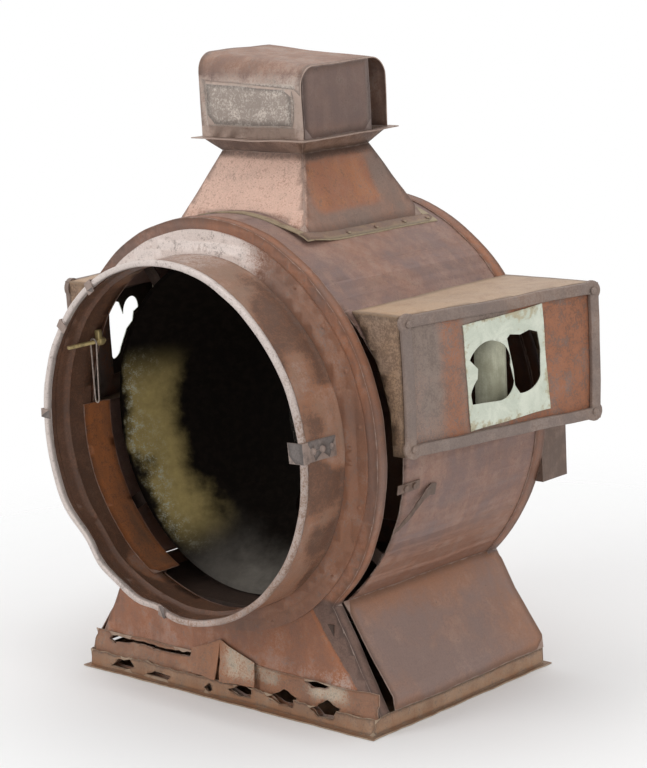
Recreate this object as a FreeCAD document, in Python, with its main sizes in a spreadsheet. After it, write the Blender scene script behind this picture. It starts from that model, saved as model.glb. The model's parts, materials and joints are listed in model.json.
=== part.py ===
import FreeCAD, Part
import math
import os
import re
import Sketcher

# Round-case locomotive headlamp: sheet-steel case, goggle door, number boxes, vent and oil lamp.
# Frame: origin on the ground under the middle of the case, -Y is the front, +Z is up, millimetres.

SIZES = [
    # Sheet work
    ("gauge", 1.5, "thickness of the sheet metal"),
    ("play", 0.3, "gap between two sheets that lie on each other"),
    ("running", 0.05, "radial clearance of a pin in its bore"),
    # Case
    ("axis_height", 390, "height of the drum's axis"),
    ("head_radius", 303, "outer radius of the round part of both heads"),
    ("neck_half", 203, "half width where the round part meets the pedestal"),
    ("foot_half", 281, "half width of the pedestal's foot"),
    ("front_depth", 176, "front head's face, ahead of the origin"),
    ("rear_depth", 188, "rear head's face, behind the origin"),
    ("front_flange", 18.5, "depth of the front head's flange"),
    ("rear_flange", 22, "depth of the rear head's flange"),
    ("opening_margin", 2, "room round the collar in the front head's opening"),
    ("panel_seam", 0.5, "open seam between drum and pedestal side"),
    ("panel_gap", 5, "open gap between the front head's flange and the right panel"),
    # Sprung seam between the front head's flange and the drum, on the right
    ("sprung_gap", 37, "widest opening of the sprung seam"),
    ("sprung_bow", 865, "radius of the drum's bowed edge there"),
    ("sprung_drop", 60, "widest place, below the axis"),
    ("sprung_side", 130, "distance from the middle where the seam starts to open"),
    # Base
    ("base_lap_width", 11, "base sheet beyond the pedestal's foot, at each side"),
    ("base_lap_depth", 12.5, "base sheet beyond the rear head's face, front and rear"),
    ("rim_height", 25, "height of the band round the foot"),
    ("skirt_height", 56, "height of the flared strip at the front"),
    ("skirt_lap", 8, "lap of the flared strip on the front head"),
    ("bolt_spacing_x", 460, "base bolt holes, side to side"),
    ("bolt_spacing_y", 300, "base bolt holes, front to rear"),
    ("bolt_hole", 7, "radius of a base bolt hole"),
    # Vent
    ("vent_centre", 16.5, "vent's centre, behind the origin"),
    ("vent_foot_width", 127, "half width of the vent neck at the drum"),
    ("vent_foot_depth", 124.5, "half depth of the vent neck at the drum"),
    ("vent_neck_width", 80, "half width at the top of the neck"),
    ("vent_neck_depth", 69, "half depth at the top of the neck"),
    ("vent_rise", 78, "top of the neck, above the drum"),
    ("saddle_margin_width", 18, "saddle flange beyond the neck, at each side"),
    ("saddle_margin_depth", 13, "saddle flange beyond the neck, front and rear"),
    ("tray_rise", 20, "height of the tray, from the neck to its lip"),
    ("tray_flare", 17, "how far the tray spreads"),
    ("lip_margin", 14, "width of the tray's lip"),
    ("smoke_box_setback", 4.5, "front wall of the smoke box, inside the hood's front"),
    ("smoke_box_length", 136.5, "depth of the smoke box"),
    ("smoke_gap", 26, "gap over the smoke box's rear wall"),
    ("hood_margin_width", 2.7, "hood's side, outside the tray's mouth"),
    ("hood_margin_depth", 2, "hood's front, outside the tray's mouth"),
    ("hood_rise", 110, "height of the hood above the lip"),
    ("hood_bend", 28, "outer bend radius of the hood"),
    ("emboss_side", 13.7, "plain strip at each side of the pressed panel"),
    ("emboss_foot", 17, "plain strip under the pressed panel"),
    ("emboss_height", 58, "height of the pressed panel"),
    ("emboss_rise", 2.5, "depth of the pressing"),
    # Number boxes
    ("box_drop", 5, "underside of the number boxes, below the axis"),
    ("box_height", 192, "height of the number boxes"),
    ("box_front", 145, "front wall of the number boxes, ahead of the origin"),
    ("box_overhang", 19.7, "front outer corner, outside the drum"),
    ("box_yaw", 12.4, "angle of the number face to the lamp's axis"),
    ("face_length", 341, "length of the number face"),
    ("frame_bar", 16, "width of the face frame"),
    ("frame_rise", 7, "thickness of the face frame"),
    ("ear_radius", 14, "radius of the frame's rounded ears"),
    ("window_start", 116, "front edge of the window in the number face"),
    ("window_shift", 22, "how much further forward the left-hand window is"),
    ("window_length", 124, "length of the window"),
    ("window_foot", 33, "lower edge of the window, above the box's underside"),
    ("window_height", 126, "height of the window"),
    ("plate_length", 140, "length of the number plate"),
    ("plate_height", 148, "height of the number plate"),
    ("plate_tilt", 3.8, "tilt of the number plate in its face"),
    ("plate_thickness", 1.2, "thickness of the number plate"),
    ("shield_radius", 28, "radius of the light shield"),
    ("shield_place", 186, "light shield's centre, along the number face"),
    ("shield_depth", 46, "light shield's centre, behind the number face"),
    ("rivet_radius", 4.5, "radius of a rivet head"),
    ("rivet_rise", 2.5, "height of a rivet head"),
    ("wall_hole_inset", 9, "front end of the holes from drum to number boxes, inside the box"),
    ("wall_hole_length", 299, "length of those holes"),
    ("wall_hole_edge", 7, "rim left over and under those holes"),
    # Goggle
    ("collar_inset", 49, "collar's outside, in from the head's edge"),
    ("ring_margin", 32.6, "width of the goggle's ring outside the collar"),
    ("ring_land", 15, "width of the raised land beside the collar"),
    ("ring_rise", 8.5, "height of that land"),
    ("collar_depth", 94.5, "front rim of the collar, ahead of the front head"),
    ("bead_radius", 4.5, "half thickness of the folded rim"),
    ("seat_setback", 18.5, "front edge of the glass seat, behind the rim"),
    ("seat_length", 22, "length of the glass seat"),
    ("seat_ledge", 5, "width of the ledge that held the glass"),
    ("clip_width", 28, "width of the glass clip"),
    ("clip_length", 66, "length of the clip's strap"),
    ("clip_tab", 20, "length of the clip's nose inside the rim"),
    ("tab_width", 13, "width of a broken clip"),
    ("tab_length", 17, "length of a broken clip's strap"),
    ("tab_nose", 11, "length of a broken clip's nose"),
    ("liner_clearance", 2.5, "liner's inside, within the collar's inside"),
    ("liner_reach", 23, "front edge of the liner, ahead of the front head"),
    ("liner_tail", 27.5, "rear edge of the liner, behind the front head"),
    ("liner_flange", 6, "width of the liner's flange outside the opening"),
    # Hinges
    ("hinge_overhang", 7, "goggle hinge's pin, outside the drum"),
    ("hinge_lead", 9, "goggle hinge's pin, ahead of the front head"),
    ("hinge_length", 120, "length of the goggle's hinge"),
    ("hinge_knuckle", 7, "outer radius of the goggle hinge's knuckles"),
    ("hinge_pin", 3, "radius of the goggle hinge's pin"),
    ("leaf_thickness", 3, "thickness of the goggle hinge's leaves"),
    ("leaf_depth", 26, "length of the leaf on the head's flange"),
    # Stay rod in the collar
    ("stay_inset", 41.5, "stay rod, inside the collar at the left"),
    ("stay_rise", 114.5, "height of the stay rod above the axis"),
    ("stay_radius", 3, "radius of the stay rod"),
    ("stay_setback", 17.5, "front end of the stay rod, behind the rim"),
    ("stay_lead", 5, "rear end of the stay rod, ahead of the front head"),
    ("lug_place", 44, "lug of the stay rod, ahead of the front head"),
    ("link_lead", 28, "wire link on the rod, ahead of the front head"),
    ("link_length", 95, "length of the wire link"),
    ("link_wire", 1.25, "radius of the link's wire"),
    # Strap
    ("strap_length", 46, "length of what is left of the goggle's strap"),
    ("strap_width", 13, "width of the strap"),
    ("strap_front", 134, "front end of the strap, ahead of the origin"),
    ("strap_drop", 55, "strap, below the axis"),
    ("strap_pitch", 18, "distance between the strap's rivets"),
    # Reflector and lamp
    ("mouth_radius", 240, "radius of the reflector's mouth"),
    ("mouth_setback", 46, "reflector's mouth, behind the front head's face"),
    ("focal_length", 67.34, "focal length of the reflector"),
    ("bowl_sheet", 2, "thickness of the bowl along its axis"),
    ("mouth_flange", 6, "width of the rim round the mouth"),
    ("chimney_hole", 36, "radius of the hole over the flame"),
    ("burner_hole", 26, "radius of the hole under the flame"),
    ("bracket_width", 20, "width of a reflector bracket"),
    ("bracket_foot", 22, "length of a reflector bracket's foot"),
    ("shelf_drop", 250, "underside of the lamp shelf, below the axis"),
    ("shelf_half", 205, "half width of the lamp shelf"),
    ("shelf_edge", 15, "depth of the shelf's turned-down edges"),
    ("fount_radius", 60, "radius of the oil fount"),
    ("fount_height", 54, "height of the oil fount"),
    ("burner_neck", 14, "radius of the burner's neck"),
    ("gallery_radius", 24, "radius of the burner's gallery"),
    ("gallery_drop", 82, "underside of the gallery, below the axis"),
    ("gallery_rise", 14, "height of the gallery"),
    ("wick_radius", 11, "radius of the wick tube"),
    ("wick_drop", 22, "top of the wick tube, below the axis"),
    ("knob_drop", 20, "wick knob's spindle, below the gallery"),
    ("spindle_radius", 2, "radius of the wick spindle"),
    ("knob_radius", 10, "radius of the wick knob"),
    ("knob_reach", 38, "wick knob's inner face, right of the middle"),
    ("cap_x", 36, "filler neck, right of the middle"),
    ("cap_neck", 8, "radius of the filler neck"),
    ("chimney_radius", 23, "outer radius of the glass chimney's foot"),
    ("chimney_rise", 192, "top of the chimney, above the axis"),
    ("chimney_wall", 1.8, "wall of the chimney"),
    ("flue_radius", 40, "outer radius of the flue"),
    ("flue_rise", 175, "lower end of the flue, above the axis"),
    ("flue_flange", 60, "half side of the flue's flange"),
    # Rear door and bracket
    ("door_half", 95, "half width of the rear opening"),
    ("door_drop", 210, "lower edge of the rear opening, below the axis"),
    ("door_height", 230, "height of the rear opening"),
    ("door_lap", 12, "lap of the rear door on the head"),
    ("door_corner", 18, "corner radius of the rear opening"),
    ("rear_knuckle", 5, "outer radius of the rear hinge's knuckles"),
    ("rear_pin", 2.5, "radius of the rear hinge's pin"),
    ("rear_hinge_length", 70, "length of the rear hinge"),
    ("rear_leaf", 24, "width of the rear hinge's leaf on the head"),
    ("rear_strap", 40, "length of the rear hinge's strap on the door"),
    ("bracket_inset", 9, "rear bracket's web, in from the head's edge"),
    ("bracket_drop", 113, "lower edge of the rear bracket, below the axis"),
    ("bracket_height", 91, "height of the rear bracket"),
    ("bracket_depth", 58, "depth of the rear bracket"),
    ("bracket_side", 34, "width of the rear bracket's foot"),
]
# Places that follow from the sizes
PLACES = [
    ("collar_radius", "head_radius - collar_inset"),
    ("ring_radius", "collar_radius + ring_margin"),
    ("ring_step", "collar_radius + ring_land"),
    ("front_opening", "collar_radius + opening_margin"),
    ("liner_radius", "collar_radius - gauge - liner_clearance"),
    ("collar_front", "front_depth + collar_depth"),
    ("seat_front", "collar_front - seat_setback"),
    ("seat_rear", "seat_front - seat_length"),
    ("liner_front", "front_depth + liner_reach"),
    ("liner_rear", "front_depth - liner_tail"),
    ("base_half_width", "foot_half + base_lap_width"),
    ("base_half_depth", "rear_depth + base_lap_depth"),
    ("sprung_height", "axis_height - sprung_drop"),
    ("saddle_width", "vent_foot_width + saddle_margin_width"),
    ("saddle_depth", "vent_foot_depth + saddle_margin_depth"),
    ("vent_neck_height", "axis_height + head_radius + vent_rise"),
    ("tray_height", "vent_neck_height + tray_rise"),
    ("tray_mouth_width", "vent_neck_width + tray_flare"),
    ("tray_mouth_depth", "vent_neck_depth + tray_flare"),
    ("lip_width", "tray_mouth_width + lip_margin"),
    ("lip_depth", "tray_mouth_depth + lip_margin"),
    ("hood_width", "tray_mouth_width + hood_margin_width"),
    ("hood_depth", "tray_mouth_depth + hood_margin_depth"),
    ("hood_top", "tray_height + hood_rise"),
    ("smoke_box_front", "hood_depth - vent_centre - smoke_box_setback"),
    ("smoke_box_rear", "smoke_box_length - smoke_box_front"),
    ("emboss_width", "hood_width - emboss_side"),
    ("emboss_low", "tray_height + emboss_foot"),
    ("emboss_high", "emboss_low + emboss_height"),
    ("box_low", "axis_height - box_drop"),
    ("box_high", "box_low + box_height"),
    ("box_reach", "head_radius + box_overhang"),
    ("window_low", "box_low + window_foot"),
    ("wall_hole_front", "box_front - wall_hole_inset"),
    ("wall_hole_rear", "wall_hole_length - wall_hole_front"),
    ("wall_hole_low", "box_low + wall_hole_edge"),
    ("wall_hole_high", "box_high - wall_hole_edge"),
    ("hinge_reach", "head_radius + hinge_overhang"),
    ("hinge_advance", "front_depth + hinge_lead"),
    ("stay_x", "collar_radius - stay_inset"),
    ("stay_height", "axis_height + stay_rise"),
    ("stay_front", "collar_front - stay_setback"),
    ("stay_rear", "front_depth + stay_lead"),
    ("stay_lug", "front_depth + lug_place"),
    ("link_place", "front_depth + link_lead"),
    ("mouth_depth", "front_depth - mouth_setback"),
    ("shelf_height", "axis_height - shelf_drop"),
    ("gallery_height", "axis_height - gallery_drop"),
    ("wick_top", "axis_height - wick_drop"),
    ("knob_height", "gallery_height - knob_drop"),
    ("chimney_top", "axis_height + chimney_rise"),
    ("flue_low", "axis_height + flue_rise"),
    ("door_low", "axis_height - door_drop"),
    ("door_high", "door_low + door_height"),
    ("bracket_x", "head_radius - bracket_inset"),
    ("bracket_low", "axis_height - bracket_drop"),
    ("bracket_high", "bracket_low + bracket_height"),
]
STRAP_ANGLE = 4
TAB_ANGLES = (123, 143, 176, 262)
BRACKET_ANGLES = (52, 128, 212, 328)
LINER_SPANS = ((176, 65), (300, 120))

doc = FreeCAD.newDocument("LocomotiveHeadlamp")
sheet = doc.addObject("Spreadsheet::Sheet", "Sizes")
for row, (alias, amount, meaning) in enumerate(SIZES, start=1):
    sheet.set(f"A{row}", alias)
    sheet.set(f"B{row}", str(amount))
    sheet.set(f"C{row}", meaning)
    sheet.setAlias(f"B{row}", alias)
ALIASES = {alias for alias, amount, meaning in SIZES}
for row, (alias, formula) in enumerate(PLACES, start=len(SIZES) + 2):
    sheet.set(f"A{row}", alias)
    sheet.set(f"B{row}", "=" + formula)
    sheet.setAlias(f"B{row}", alias)
    ALIASES.add(alias)
doc.recompute()
NODES = {}

# Sizes worked out from the sheet's cells
NECK_DROP = "sqrt(head_radius^2 - neck_half^2)"
NECK_HEIGHT = f"(axis_height - {NECK_DROP})"
DRUM_RADIUS = "(head_radius - gauge - play)"
FOOT = "(gauge + play)"
LEAN = f"(foot_half - neck_half) / ({NECK_HEIGHT} - rim_height)"
FACE_REAR = "(-box_front + face_length * cos(box_yaw))"
VERTEX = "(mouth_radius^2 / (4 * focal_length) - mouth_depth)"
FOCUS = f"({VERTEX} - focal_length)"


def sized(text):
    """An expression with each size's name pointing at its cell."""
    return re.sub(r"[a-z][a-z_]*", lambda word: "Sizes." * (word.group() in ALIASES) + word.group(), text)


def value(text):
    return float(sheet.evalExpression(sized(text)))


def tie(feature, **sizes):
    """Bind properties to expressions; two underscores stand for a dot."""
    for name, text in sizes.items():
        feature.setExpression(name.replace("__", "."), sized(text))


def node(name, feature):
    feature.Label = name
    NODES[name] = feature
    return feature


# Sketches and features


def new_body(name):
    body = doc.addObject("PartDesign::Body", name)
    return node(name, body)


def new_sketch(body, plane, offset="0", x="0", y="0", turn="0"):
    """A sketch on an origin plane: XY faces up, XZ faces the front, YZ faces right."""
    sketch = body.newObject("Sketcher::SketchObject", "Sketch")
    origin = [feature for feature in body.Origin.OriginFeatures if feature.Role == plane + "_Plane"]
    sketch.AttachmentSupport = [(origin[0], "")]
    sketch.MapMode = "FlatFace"
    sketch.AttachmentOffset = FreeCAD.Placement(FreeCAD.Vector(0, 0, 0), FreeCAD.Rotation(FreeCAD.Vector(0, 0, 1), 0))
    tie(sketch, AttachmentOffset__Base__x=x, AttachmentOffset__Base__y=y, AttachmentOffset__Base__z=offset)
    if turn != "0":
        tie(sketch, AttachmentOffset__Rotation__Angle=turn)
    return sketch


def arc_between(start, end, radius, turn):
    """Arc from start to end: turn 1 is anticlockwise, -1 clockwise, and 2 or -2 the long way round."""
    middle = (start + end) * 0.5
    chord = end - start
    height = math.sqrt(max(radius ** 2 - chord.Length ** 2 / 4, 0))
    side = 1 if turn in (1, -2) else -1
    centre = middle + FreeCAD.Vector(-chord.y, chord.x, 0).normalize() * height * side
    first, last = (start, end) if turn > 0 else (end, start)
    low = math.atan2(first.y - centre.y, first.x - centre.x)
    high = math.atan2(last.y - centre.y, last.x - centre.x)
    circle = Part.Circle(centre, FreeCAD.Vector(0, 0, 1), radius)
    return Part.ArcOfCircle(circle, low, high if high > low else high + 2 * math.pi)


def draw(sketch, corners):
    """Closed outline: each corner is (x, y), or (x, y, radius, turn) where an arc starts."""
    places = [FreeCAD.Vector(value(corner[0]), value(corner[1]), 0) for corner in corners]
    base = sketch.GeometryCount
    limits = []
    rules = []
    texts = []
    for index, corner in enumerate(corners):
        start = places[index]
        end = places[(index + 1) % len(places)]
        if len(corner) == 2:
            sketch.addGeometry(Part.LineSegment(start, end), False)
        else:
            sketch.addGeometry(arc_between(start, end, value(corner[2]), corner[3]), False)
        backwards = len(corner) > 2 and corner[3] < 0
        limits.append((2, 1) if backwards else (1, 2))
    for index, corner in enumerate(corners):
        follower = (index + 1) % len(corners)
        rules.append(Sketcher.Constraint("Coincident", base + index, limits[index][1],
                                         base + follower, limits[follower][0]))
        texts.append(None)
        for kind, text, amount in (("DistanceX", corner[0], places[index].x), ("DistanceY", corner[1], places[index].y)):
            rules.append(Sketcher.Constraint(kind, -1, 1, base + index, limits[index][0], amount))
            texts.append(text)
        if len(corner) > 2:
            rules.append(Sketcher.Constraint("Radius", base + index, value(corner[2])))
            texts.append(corner[2])
    bind(sketch, rules, texts)


def draw_circle(sketch, x, y, radius):
    index = sketch.addGeometry(Part.Circle(FreeCAD.Vector(value(x), value(y), 0), FreeCAD.Vector(0, 0, 1),
                                           value(radius)), False)
    rules = [Sketcher.Constraint("DistanceX", -1, 1, index, 3, value(x)),
             Sketcher.Constraint("DistanceY", -1, 1, index, 3, value(y)),
             Sketcher.Constraint("Radius", index, value(radius))]
    bind(sketch, rules, [x, y, radius])


def bind(sketch, rules, texts):
    numbers = sketch.addConstraint(rules)
    for number, text in zip(numbers, texts):
        if text is not None:
            sketch.setExpression(f"Constraints[{number}]", sized(text))


def rectangle(x_low, y_low, x_high, y_high):
    return [(x_low, y_low), (x_high, y_low), (x_high, y_high), (x_low, y_high)]


def pad(body, sketch, length):
    """Pad along the sketch's facing direction."""
    feature = body.newObject("PartDesign::Pad", "Pad")
    feature.Profile = sketch
    tie(feature, Length=length)
    return feature


def pocket(body, sketch, length):
    """Cut against the sketch's facing direction."""
    feature = body.newObject("PartDesign::Pocket", "Pocket")
    feature.Profile = sketch
    tie(feature, Length=length)
    return feature


def faces_towards(shape, direction, reach):
    """Names of the flat faces that look along a direction and lie at a place along it."""
    names = []
    for number, face in enumerate(shape.Faces, start=1):
        if face.Surface.TypeId != "Part::GeomPlane":
            continue
        normal = face.normalAt(*[sum(pair) / 2 for pair in (face.ParameterRange[:2], face.ParameterRange[2:])])
        if (normal - direction).Length < 1e-6 and abs(face.CenterOfMass.dot(direction) - reach) < 1e-3:
            names.append(f"Face{number}")
    return names


def shell(body, base, open_faces):
    """Hollow the body to one gauge of sheet, inwards, leaving the named faces open."""
    feature = body.newObject("PartDesign::Thickness", "Thickness")
    feature.Base = (base, open_faces)
    feature.Reversed = True
    feature.Join = 1
    tie(feature, Value="gauge")
    body.Tip = feature
    return feature


def revolve(name, corners, height="axis_height"):
    """Body of revolution about the lamp's axis: corners are (radius, y)."""
    body = new_body(name)
    tie(body, Placement__Base__z=height)
    sketch = new_sketch(body, "XY")
    draw(sketch, corners)
    feature = body.newObject("PartDesign::Revolution", "Revolution")
    feature.Profile = sketch
    feature.ReferenceAxis = (sketch, ["V_Axis"])
    feature.Angle = 360
    return body


def turned(name, corners, x="0"):
    """Body turned about the vertical line through the flame: corners are (radius, height)."""
    body = new_body(name)
    tie(body, Placement__Base__x=x, Placement__Base__y=FOCUS)
    sketch = new_sketch(body, "XZ")
    draw(sketch, corners)
    feature = body.newObject("PartDesign::Revolution", "Revolution")
    feature.Profile = sketch
    feature.ReferenceAxis = (sketch, ["V_Axis"])
    feature.Angle = 360
    return body


def mirrored(name, source):
    """The left-hand twin of a right-hand piece."""
    feature = doc.addObject("Part::Mirroring", name)
    feature.Source = source
    feature.Base = FreeCAD.Vector(0, 0, 0)
    feature.Normal = FreeCAD.Vector(1, 0, 0)
    return node(name, feature)


# Primitives and booleans


def box(x, y, z, length, width, height):
    feature = doc.addObject("Part::Box", "Block")
    tie(feature, Length=length, Width=width, Height=height,
        Placement__Base__x=x, Placement__Base__y=y, Placement__Base__z=z)
    return feature


def rod(x, y, z, radius, length, along="Z"):
    feature = doc.addObject("Part::Cylinder", "Rod")
    turns = {"X": FreeCAD.Rotation(FreeCAD.Vector(0, 1, 0), 90), "Y": FreeCAD.Rotation(FreeCAD.Vector(1, 0, 0), -90),
             "Z": FreeCAD.Rotation()}
    feature.Placement = FreeCAD.Placement(FreeCAD.Vector(0, 0, 0), turns[along])
    tie(feature, Radius=radius, Height=length,
        Placement__Base__x=x, Placement__Base__y=y, Placement__Base__z=z)
    return feature


def prism(x, y, z, radius, length, sides, along="Z"):
    feature = doc.addObject("Part::Prism", "Prism")
    feature.Polygon = sides
    turns = {"X": FreeCAD.Rotation(FreeCAD.Vector(0, 1, 0), 90), "Y": FreeCAD.Rotation(FreeCAD.Vector(1, 0, 0), -90),
             "Z": FreeCAD.Rotation()}
    feature.Placement = FreeCAD.Placement(FreeCAD.Vector(0, 0, 0), turns[along])
    tie(feature, Circumradius=radius, Height=length,
        Placement__Base__x=x, Placement__Base__y=y, Placement__Base__z=z)
    return feature


def fuse(*pieces):
    feature = doc.addObject("Part::MultiFuse", "Fusion")
    feature.Shapes = list(pieces)
    return feature


def cut(piece, tool):
    feature = doc.addObject("Part::Cut", "Cut")
    feature.Base = piece
    feature.Tool = tool
    return feature


def common(*pieces):
    feature = doc.addObject("Part::MultiCommon", "Common")
    feature.Shapes = list(pieces)
    return feature


# Case


def keyhole():
    """Outline of a head: round above the neck, sloping to the foot, upright in the rim."""
    return [("foot_half", FOOT), ("foot_half", "rim_height"), ("neck_half", NECK_HEIGHT, "head_radius", 2),
            ("-neck_half", NECK_HEIGHT), ("-foot_half", "rim_height"), ("-foot_half", FOOT)]


def base_plate():
    body = new_body("base_plate")
    outline = new_sketch(body, "XY")
    draw(outline, rectangle("-base_half_width", "-base_half_depth", "base_half_width", "base_half_depth"))
    pad(body, outline, "gauge")
    holes = new_sketch(body, "XY", "gauge")
    for x in ("-bolt_spacing_x / 2", "bolt_spacing_x / 2"):
        for y in ("-bolt_spacing_y / 2", "bolt_spacing_y / 2"):
            draw_circle(holes, x, y, "bolt_hole")
    pocket(body, holes, "gauge")


RUST_HOLES = [
    [(-237, 5), (-222, 17), (-197, 19), (-188, 9), (-208, 3)],
    [(-165, 4), (-143, 12), (-111, 11), (-118, 4)],
    [(-43, 8), (-30, 17), (-24, 7), (-35, 3)],
    [(5, 14), (17, 18), (28, 26), (52, 20), (49, 9), (27, 6)],
    [(84, 19), (111, 32), (138, 25), (133, 12), (106, 11)],
    [(167, 19), (193, 32), (217, 24), (210, 10), (182, 8)],
    [(-10, 47), (2, 52), (28, 54), (37, 49), (12, 43)],
    [(151, 50), (172, 54), (196, 51), (186, 46), (164, 44)],
    [(-250, 42), (-244, 50), (-155, 47), (-78, 50), (-75, 44), (-156, 42), (-200, 44), (-240, 38)],
]


def rust_through(body):
    """The holes that rust ate through the lower front: every sheet there has them at the same place."""
    holes = new_sketch(body, "XZ", "base_half_depth")
    for outline in RUST_HOLES:
        draw(holes, [(f"{x}", f"{FOOT} + {z}") for x, z in outline])
    pocket(body, holes, "base_half_depth - front_depth + front_flange / 2")


def base_rim():
    body = new_body("base_rim")
    outline = new_sketch(body, "XY", FOOT)
    for step in ("play", "(play + gauge)"):
        x = f"(foot_half + {step})"
        y = f"(rear_depth + {step})"
        draw(outline, rectangle("-" + x, "-" + y, x, y))
    pad(body, outline, f"rim_height - {FOOT}")
    rust_through(body)


def front_head():
    body = new_body("front_head")
    outline = new_sketch(body, "XZ", "front_depth - front_flange")
    draw(outline, keyhole())
    block = pad(body, outline, "front_flange")
    doc.recompute()
    back = faces_towards(block.Shape, FreeCAD.Vector(0, 1, 0), -value("front_depth - front_flange"))
    under = faces_towards(block.Shape, FreeCAD.Vector(0, 0, -1), -value(FOOT))
    shell(body, block, back + under)
    doc.recompute()
    opening = new_sketch(body, "XZ", "front_depth")
    draw_circle(opening, "0", "axis_height", "front_opening")
    pocket(body, opening, "front_flange")
    rust_through(body)


def front_skirt():
    body = new_body("front_skirt")
    profile = new_sketch(body, "YZ", "-foot_half + play")
    bend = "skirt_height - skirt_lap"
    foot = "-rear_depth"
    draw(profile, [(foot, FOOT), (f"{foot} + gauge", FOOT), ("-front_depth - play", bend),
                   ("-front_depth - play", "skirt_height"), ("-front_depth - play - gauge", "skirt_height"),
                   ("-front_depth - play - gauge", bend)])
    pad(body, profile, "2 * (foot_half - play)")
    rust_through(body)


def rear_head():
    body = new_body("rear_head")
    outline = new_sketch(body, "XZ", "-rear_depth")
    draw(outline, keyhole())
    block = pad(body, outline, "rear_flange")
    doc.recompute()
    front = faces_towards(block.Shape, FreeCAD.Vector(0, -1, 0), -value("rear_depth - rear_flange"))
    under = faces_towards(block.Shape, FreeCAD.Vector(0, 0, -1), -value(FOOT))
    shell(body, block, front + under)
    doc.recompute()
    opening = new_sketch(body, "XZ", "-rear_depth + rear_flange / 2")
    low = "door_low + door_corner"
    high = "door_high - door_corner"
    side = "(door_half - door_corner)"
    draw(opening, [("-" + side, "door_low"), (side, "door_low", "door_corner", 1), ("door_half", low),
                   ("door_half", high, "door_corner", 1), (side, "door_high"),
                   ("-" + side, "door_high", "door_corner", 1), ("-door_half", high),
                   ("-door_half", low, "door_corner", 1)])
    pocket(body, opening, "rear_flange")


def sprung_seam(body):
    """Bows the drum's front edge back from the head's flange, on the right."""
    bite = new_sketch(body, "YZ", "head_radius + play")
    draw_circle(bite, "front_flange - front_depth + sprung_gap - sprung_bow", "sprung_height", "sprung_bow")
    pocket(body, bite, "head_radius + play - sprung_side")


def drum_shell():
    body = new_body("drum_shell")
    inner = f"({DRUM_RADIUS} - gauge)"
    outline = new_sketch(body, "XZ", f"{FOOT} - rear_depth")
    outer_x = f"{DRUM_RADIUS} * neck_half / head_radius"
    outer_z = f"axis_height - {DRUM_RADIUS} * {NECK_DROP} / head_radius"
    inner_x = f"{inner} * neck_half / head_radius"
    inner_z = f"axis_height - {inner} * {NECK_DROP} / head_radius"
    draw(outline, [(outer_x, outer_z, DRUM_RADIUS, 2), ("-" + outer_x, outer_z),
                   ("-" + inner_x, inner_z, inner, -2), (inner_x, inner_z)])
    pad(body, outline, f"front_depth + rear_depth - 2 * {FOOT}")
    flue_hole = new_sketch(body, "XY", "axis_height + head_radius")
    draw_circle(flue_hole, "0", FOCUS, "flue_radius + play")
    pocket(body, flue_hole, "head_radius / 2")
    sides = new_sketch(body, "YZ", "head_radius")
    draw(sides, rectangle("-wall_hole_front", "wall_hole_low", "wall_hole_rear", "wall_hole_high"))
    pocket(body, sides, "2 * head_radius")
    sprung_seam(body)


def side_panel(name, side, front):
    """Sloping side of the pedestal; side is an empty text on the right and a minus on the left."""
    body = new_body(name)
    outline = new_sketch(body, "XZ", f"{FOOT} - rear_depth")
    top = f"(axis_height - {DRUM_RADIUS} * {NECK_DROP} / head_radius - panel_seam)"
    corners = []
    for step in (FOOT, f"({FOOT} + gauge)"):
        shift = f"{step} * sqrt(1 + ({LEAN})^2)"
        bend = f"rim_height - ({shift} - {step}) / ({LEAN})"
        line = [(f"{side}(neck_half + ({NECK_HEIGHT} - {top}) * {LEAN} - {shift})", top),
                (f"{side}(foot_half - {step})", bend), (f"{side}(foot_half - {step})", FOOT)]
        corners += line if not corners else line[::-1]
    draw(outline, corners)
    pad(body, outline, f"{front} + rear_depth - {FOOT}")
    return body


# Vent


def vent_saddle():
    body = new_body("vent_saddle")
    under = f"({DRUM_RADIUS} + play)"
    over = f"({DRUM_RADIUS} + play + gauge)"
    outline = new_sketch(body, "XZ", "-vent_centre - saddle_depth")
    draw(outline, [(f"saddle_width", f"axis_height + sqrt({over}^2 - saddle_width^2)", over, 1),
                   (f"-saddle_width", f"axis_height + sqrt({over}^2 - saddle_width^2)"),
                   (f"-saddle_width", f"axis_height + sqrt({under}^2 - saddle_width^2)", under, -1),
                   (f"saddle_width", f"axis_height + sqrt({under}^2 - saddle_width^2)")])
    pad(body, outline, "2 * saddle_depth")
    hole = new_sketch(body, "XY", "axis_height + head_radius + play", y="vent_centre")
    draw(hole, rectangle("-vent_foot_width - play", "-vent_foot_depth - play",
                         "vent_foot_width + play", "vent_foot_depth + play"))
    pocket(body, hole, "head_radius")


def wedge(low, high, low_half, high_half):
    """Four-sided taper over the vent's centre; each half is (x, y)."""
    feature = doc.addObject("Part::Wedge", "Wedge")
    feature.Placement = FreeCAD.Placement(FreeCAD.Vector(0, 0, 0), FreeCAD.Rotation(FreeCAD.Vector(1, 0, 0), 90))
    tie(feature, Ymin=low, Ymax=high, Xmin="-" + low_half[0], Xmax=low_half[0], Zmin="-" + low_half[1],
        Zmax=low_half[1], X2min="-" + high_half[0], X2max=high_half[0], Z2min="-" + high_half[1],
        Z2max=high_half[1], Placement__Base__y="vent_centre")
    return feature


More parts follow.
